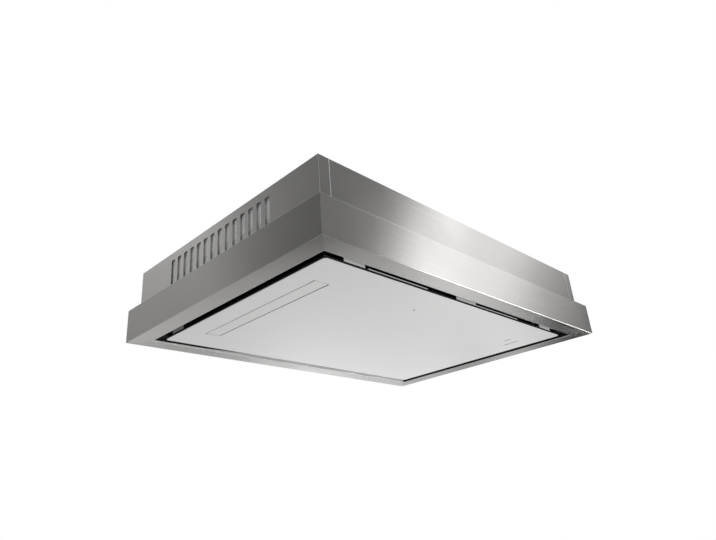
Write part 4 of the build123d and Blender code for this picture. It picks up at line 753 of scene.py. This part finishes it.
screenLook = {
    "colour": (0.95, 0.95, 0.94),
    "streakDepth": 0.03,
    "roughLow": 0.34,
    "roughHigh": 0.44,
    "anisotropy": 0.3,
    "grainBump": 0.05,
}
screenAluminium = brushedStainless("screenAluminium", "Y", screenLook)
for end in ("left", "right"):
    meshLow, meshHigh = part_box("outlet_mesh_" + end)
    inner, outer = (meshHigh.x, meshLow.x) if end == "left" else (meshLow.x, meshHigh.x)
    screenPoints, screenFaces = perforatedScreen(meshLow, meshHigh, inner, outer)
    if end == "right":  # rings run anticlockwise seen from +X, and the skin faces the inside
        screenFaces = [face[::-1] for face in screenFaces]
    screen = addPiece("outletScreen_" + end, screenPoints, screenFaces, screenAluminium)
    weldPoints(screen)
    wall = screen.modifiers.new("sheet", "SOLIDIFY")
    wall.thickness = screenSizes["sheet"]
    wall.offset = -1.0
    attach(screen, "housing")
    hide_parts("outlet_mesh_" + end)
print("Outlet screens: two perforated trays")


expandedSizes = {
    "shortWay": 0.0060,
    "longWay": 0.0120,
    "strand": 0.0011,
    "sheet": 0.00035,
    "lift": 0.0003,
    "insetLow": 0.0005,
    "insetHigh": 0.0006,
}


# Expanded metal: strand k follows x = (k + 1/2) p + (-1)^k (p - w) / 2 cos(2 pi y / L), flattened
# at its crests so that neighbours meet there, and rises and falls by lift sin(2 pi y / L).
def expandedLayer(low, high, z, sizes=expandedSizes, phase=0.0):
    strands = int((high.x - low.x) / sizes["shortWay"])
    pitch = (high.x - low.x) / strands
    waves = int((high.y - low.y) / sizes["longWay"])
    steps = waves * 6 + 1
    along = np.linspace(0, 1, steps)
    angle = 2 * np.pi * waves * along + phase
    swing = np.clip(1.25 * np.cos(angle), -1, 1) * (pitch - sizes["strand"]) / 2
    sign = np.where(np.arange(strands) % 2 == 0, 1.0, -1.0)
    middle = low.x + (np.arange(strands) + 0.5) * pitch
    line = middle[:, None] + sign[:, None] * swing[None, :]
    level = z + sizes["lift"] * sign[:, None] * np.sin(angle)[None, :]
    y = low.y + along * (high.y - low.y)
    points = np.empty((strands, steps, 2, 3))
    points[..., 0, 0] = line - sizes["strand"] / 2
    points[..., 1, 0] = line + sizes["strand"] / 2
    points[..., 1] = y[None, :, None]
    points[..., 2] = level[..., None]
    number = np.arange(strands * steps * 2).reshape(strands, steps, 2)
    faces = np.stack(
        [number[:, :-1, 0], number[:, 1:, 0], number[:, 1:, 1], number[:, :-1, 1]], -1
    ).reshape(-1, 4)
    return points.reshape(-1, 3), faces


meshAluminium = platedSteel("meshAluminium", (0.68, 0.69, 0.70), 0.36)
for end in ("left", "right"):
    padLow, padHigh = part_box("filter_mesh_" + end)
    lowZ, highZ = padLow.z + expandedSizes["insetLow"], padHigh.z - expandedSizes["insetHigh"]
    frontPoints, frontFaces = expandedLayer(padLow, padHigh, lowZ)
    backPoints, backFaces = expandedLayer(padLow, padHigh, highZ, phase=np.pi / 2)
    points = np.concatenate([frontPoints, backPoints])
    faces = np.concatenate([frontFaces, backFaces + len(frontPoints)])
    pad = addPiece("filterPad_" + end, points, faces, meshAluminium)
    wall = pad.modifiers.new("strand", "SOLIDIFY")
    wall.thickness = expandedSizes["sheet"]
    wall.offset = 0.0
    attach(pad, "housing")
    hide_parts("filter_mesh_" + end)
print("Filter pads: expanded metal, two layers each")


studioLevels = {
    "tentRadius": 3.0,
    "tentMiddle": -0.089,  # its height
    "tentSteps": (301, 151),
    "around": 0.60,
    "darkest": 0.02,
    # where the lower part and the front and left parts are eased in, as parts of the radius
    "lowBlend": (-0.06, 0.10),
    "sideBlend": (0.0, 0.2),
    # tall strip lamps in front: lean to +X in degrees, reach, change of level
    "front": 0.21,
    "frontStrips": [(42.2, 5.0, 1.45), (51.4, 5.0, 1.0), (59.5, 2.2, 0.20), (65.0, 3.0, -0.15)],
    # tall strip lamps to the left: lean to +Y in degrees, reach, change of level
    "left": 0.20,
    "leftStrips": [(46, 5, 0.25), (56, 8, 0.30)],
    # round lamps and dark cards on the floor: x and y over the radius, reach, change of level
    "below": 0.70,
    "belowPools": [
        (0.66, 0.87, 0.22, 1.2),
        (0.79, 0.41, 0.10, 0.57),
        (0.44, 0.61, 0.26, -1.0),
        (1.00, 0.20, 0.15, -1.0),
        (0.88, 0.47, 0.08, -0.65),
    ],
    # soft spots: azimuth, elevation, reach in azimuth, reach in elevation, change of level
    "spots": [
        (-133, 23, 11, 14, 1.0),
        (45, 51, 75, 9, 1.0),
        (126, 32, 12, 9, 0.35),
    ],
    # long low lamp in front: angle below the horizon about X, reach, level, and where it starts
    "strip": (72, 7, 14, (0.62, 0.72)),
    "ambient": 0.44,
    "floorGlow": 0.40,
}


def eased(value, low, high):
    t = np.clip((value - low) / (high - low), 0, 1)
    return t * t * (3 - 2 * t)


def fading(value, middle, reach):
    return np.exp(-(((value - middle) / reach) ** 2))


# Light tent: a sphere R (cos e cos a, cos e sin a, sin e) round the hood's middle. Each point
# holds how bright it looks: the lamps above fade with exp(-d^2), and the front, left and lower
# parts are eased into each other with 3t^2 - 2t^3 where x, y or z changes sign.
def makeTent(levels=studioLevels):
    stepsRound, stepsUp = levels["tentSteps"]
    angles = np.radians(np.linspace(-180, 180, stepsRound))
    heights = np.radians(np.linspace(-90, 90, stepsUp))
    a, e = np.meshgrid(angles, heights)
    unit = np.stack([np.cos(e) * np.cos(a), np.cos(e) * np.sin(a), np.sin(e)], -1)
    x, y, z = unit[..., 0], unit[..., 1], unit[..., 2]
    points = unit * levels["tentRadius"]
    points[..., 2] += levels["tentMiddle"]
    low = levels["below"] + sum(
        change * fading(x, poolX, reach) * fading(y, poolY, reach)
        for poolX, poolY, reach, change in levels["belowPools"]
    )
    leanX, leanY = np.degrees(np.arcsin(x)), np.degrees(np.arcsin(y))
    front = levels["front"] + sum(
        change * fading(leanX, lean, reach) for lean, reach, change in levels["frontStrips"]
    )
    left = levels["left"] + sum(
        change * fading(leanY, lean, reach) for lean, reach, change in levels["leftStrips"]
    )
    level = levels["around"] + (low - levels["around"]) * eased(-z, *levels["lowBlend"])
    level = level + (left - level) * eased(-x, *levels["sideBlend"])
    level = level + (front - level) * eased(-y, *levels["sideBlend"])
    azimuth, elevation = np.degrees(a), np.degrees(e)
    for spotA, spotE, reachA, reachE, change in levels["spots"]:
        level = level + change * fading(azimuth, spotA, reachA) * fading(elevation, spotE, reachE)
    angle, reach, change, (startX, fullX) = levels["strip"]
    tilt = np.degrees(np.arctan2(-z, -y))
    level = level + change * fading(tilt, angle, reach) * eased(x, startX, fullX)
    level = np.maximum(level, levels["darkest"])
    number = np.arange(a.size).reshape(a.shape)
    faces = np.stack(
        [number[:-1, :-1], number[1:, :-1], number[1:, 1:], number[:-1, 1:]], -1
    ).reshape(-1, 4)
    material = bpy.data.materials.new("tentCloth")
    material.use_nodes = True
    material.cycles.emission_sampling = "NONE"  # only the shine finds it
    tree = material.node_tree
    tree.nodes.remove(tree.nodes["Principled BSDF"])
    shade = addNode(tree, "ShaderNodeAttribute", attribute_name="level").outputs["Fac"]
    glow = addNode(tree, "ShaderNodeEmission", {"Color": (1, 1, 1, 1), "Strength": shade})
    tree.links.new(glow.outputs[0], tree.nodes["Material Output"].inputs["Surface"])
    tent = addPiece("lightTent", points.reshape(-1, 3), faces, material)
    attribute = tent.data.attributes.new("level", "FLOAT", "POINT")
    attribute.data.foreach_set("value", level.ravel().astype(np.float32))
    tent.visible_camera = False
    tent.visible_diffuse = False
    tent.visible_shadow = False
    tent.visible_transmission = False


makeTent()


def makeFloor(size=7.0, height=-2.3):
    corners = np.array([[-1, -1, 0], [1, -1, 0], [1, 1, 0], [-1, 1, 0]]) * size + [0, 0, height]
    material, tree, shader = startMaterial("paleFloor")
    skin = placeGroup(tree, mouldedSkin, {"Scale": 40.0})
    pale = mixColour(tree, skin.outputs["Mottle"], grey(0.78), grey(0.82))
    tree.links.new(pale, shader.inputs["Base Color"])
    shader.inputs["Roughness"].default_value = 0.9
    shader.inputs["Specular IOR Level"].default_value = 0.0  # no glare from the tent
    shader.inputs["Emission Color"].default_value = (1, 1, 1, 1)
    path = addNode(tree, "ShaderNodeLightPath").outputs
    glow = mathOf(tree, "MULTIPLY", path["Is Camera Ray"], studioLevels["floorGlow"])
    tree.links.new(glow, shader.inputs["Emission Strength"])
    floor = addPiece("floor", corners, np.array([[0, 1, 2, 3]]), material)
    return floor


floor = makeFloor()
unlit = bpy.data.collections.new("unlitByLamps")
unlit.objects.link(floor)
unlit.collection_objects[0].light_linking.link_state = "EXCLUDE"


# A rectangular lamp that lights the hood and leaves the floor even
def addLamp(name, place, target, size, power):
    data = bpy.data.lights.new(name, "AREA")
    data.shape = "RECTANGLE"
    data.size, data.size_y = size
    data.energy = power
    lamp = bpy.data.objects.new(name, data)
    bpy.context.scene.collection.objects.link(lamp)
    lamp.location = place
    aim = Vector(target) - Vector(place)
    lamp.rotation_euler = aim.to_track_quat("-Z", "Y").to_euler()
    lamp.visible_glossy = False
    lamp.visible_camera = False
    lamp.light_linking.receiver_collection = unlit


studioLamps = {
    "keyLamp": {
        "place": (0.5, -2.75, -1.85), "target": (0, 0, -0.1), "size": (1.0, 1.0), "power": 38.0,
    },
    "fillLamp": {
        "place": (1.5, 0.8, -1.35), "target": (0.1, 0.1, -0.15), "size": (1.2, 1.2), "power": 20.0,
    },
}
for lampName, lampValues in studioLamps.items():
    addLamp(lampName, **lampValues)


# White to the camera, to polished faces and through glass; a softer white lights the object
def makeWorld(ambient=studioLevels["ambient"]):
    world = bpy.data.worlds.new("studioWorld")
    world.use_nodes = True
    tree = world.node_tree
    path = addNode(tree, "ShaderNodeLightPath").outputs
    seen = mathOf(tree, "MAXIMUM", path["Is Camera Ray"], path["Is Glossy Ray"])
    seen = mathOf(tree, "MAXIMUM", seen, path["Is Transmission Ray"])
    background = tree.nodes["Background"]
    background.inputs["Color"].default_value = (1, 1, 1, 1)
    tree.links.new(ramped(tree, seen, 0, 1, ambient, 1.0), background.inputs["Strength"])
    bpy.context.scene.world = world


makeWorld()


cameraPlace = {
    "lens": 29.84,
    "sensor": 36.0,
    "position": (-1.092997, -0.981652, -0.623535),
    "right": (0.706513, -0.703711, -0.075034),
    "down": (0.23389, 0.332249, -0.913732),
    "forward": (0.667934, 0.628013, 0.399329),
}


def makeCamera(place=cameraPlace):
    data = bpy.data.cameras.new("photoCamera")
    data.lens = place["lens"]
    data.sensor_width = place["sensor"]
    data.sensor_fit = "HORIZONTAL"
    data.clip_start = 0.01
    camera = bpy.data.objects.new("photoCamera", data)
    bpy.context.scene.collection.objects.link(camera)
    up, backward = -Vector(place["down"]), -Vector(place["forward"])
    turn = Matrix((place["right"], up, backward)).transposed()
    camera.matrix_world = Matrix.Translation(place["position"]) @ turn.to_4x4()
    bpy.context.scene.camera = camera


makeCamera()
bpy.context.scene.view_settings.view_transform = "Standard"

print("Studio: tent, floor, lamps and camera placed")
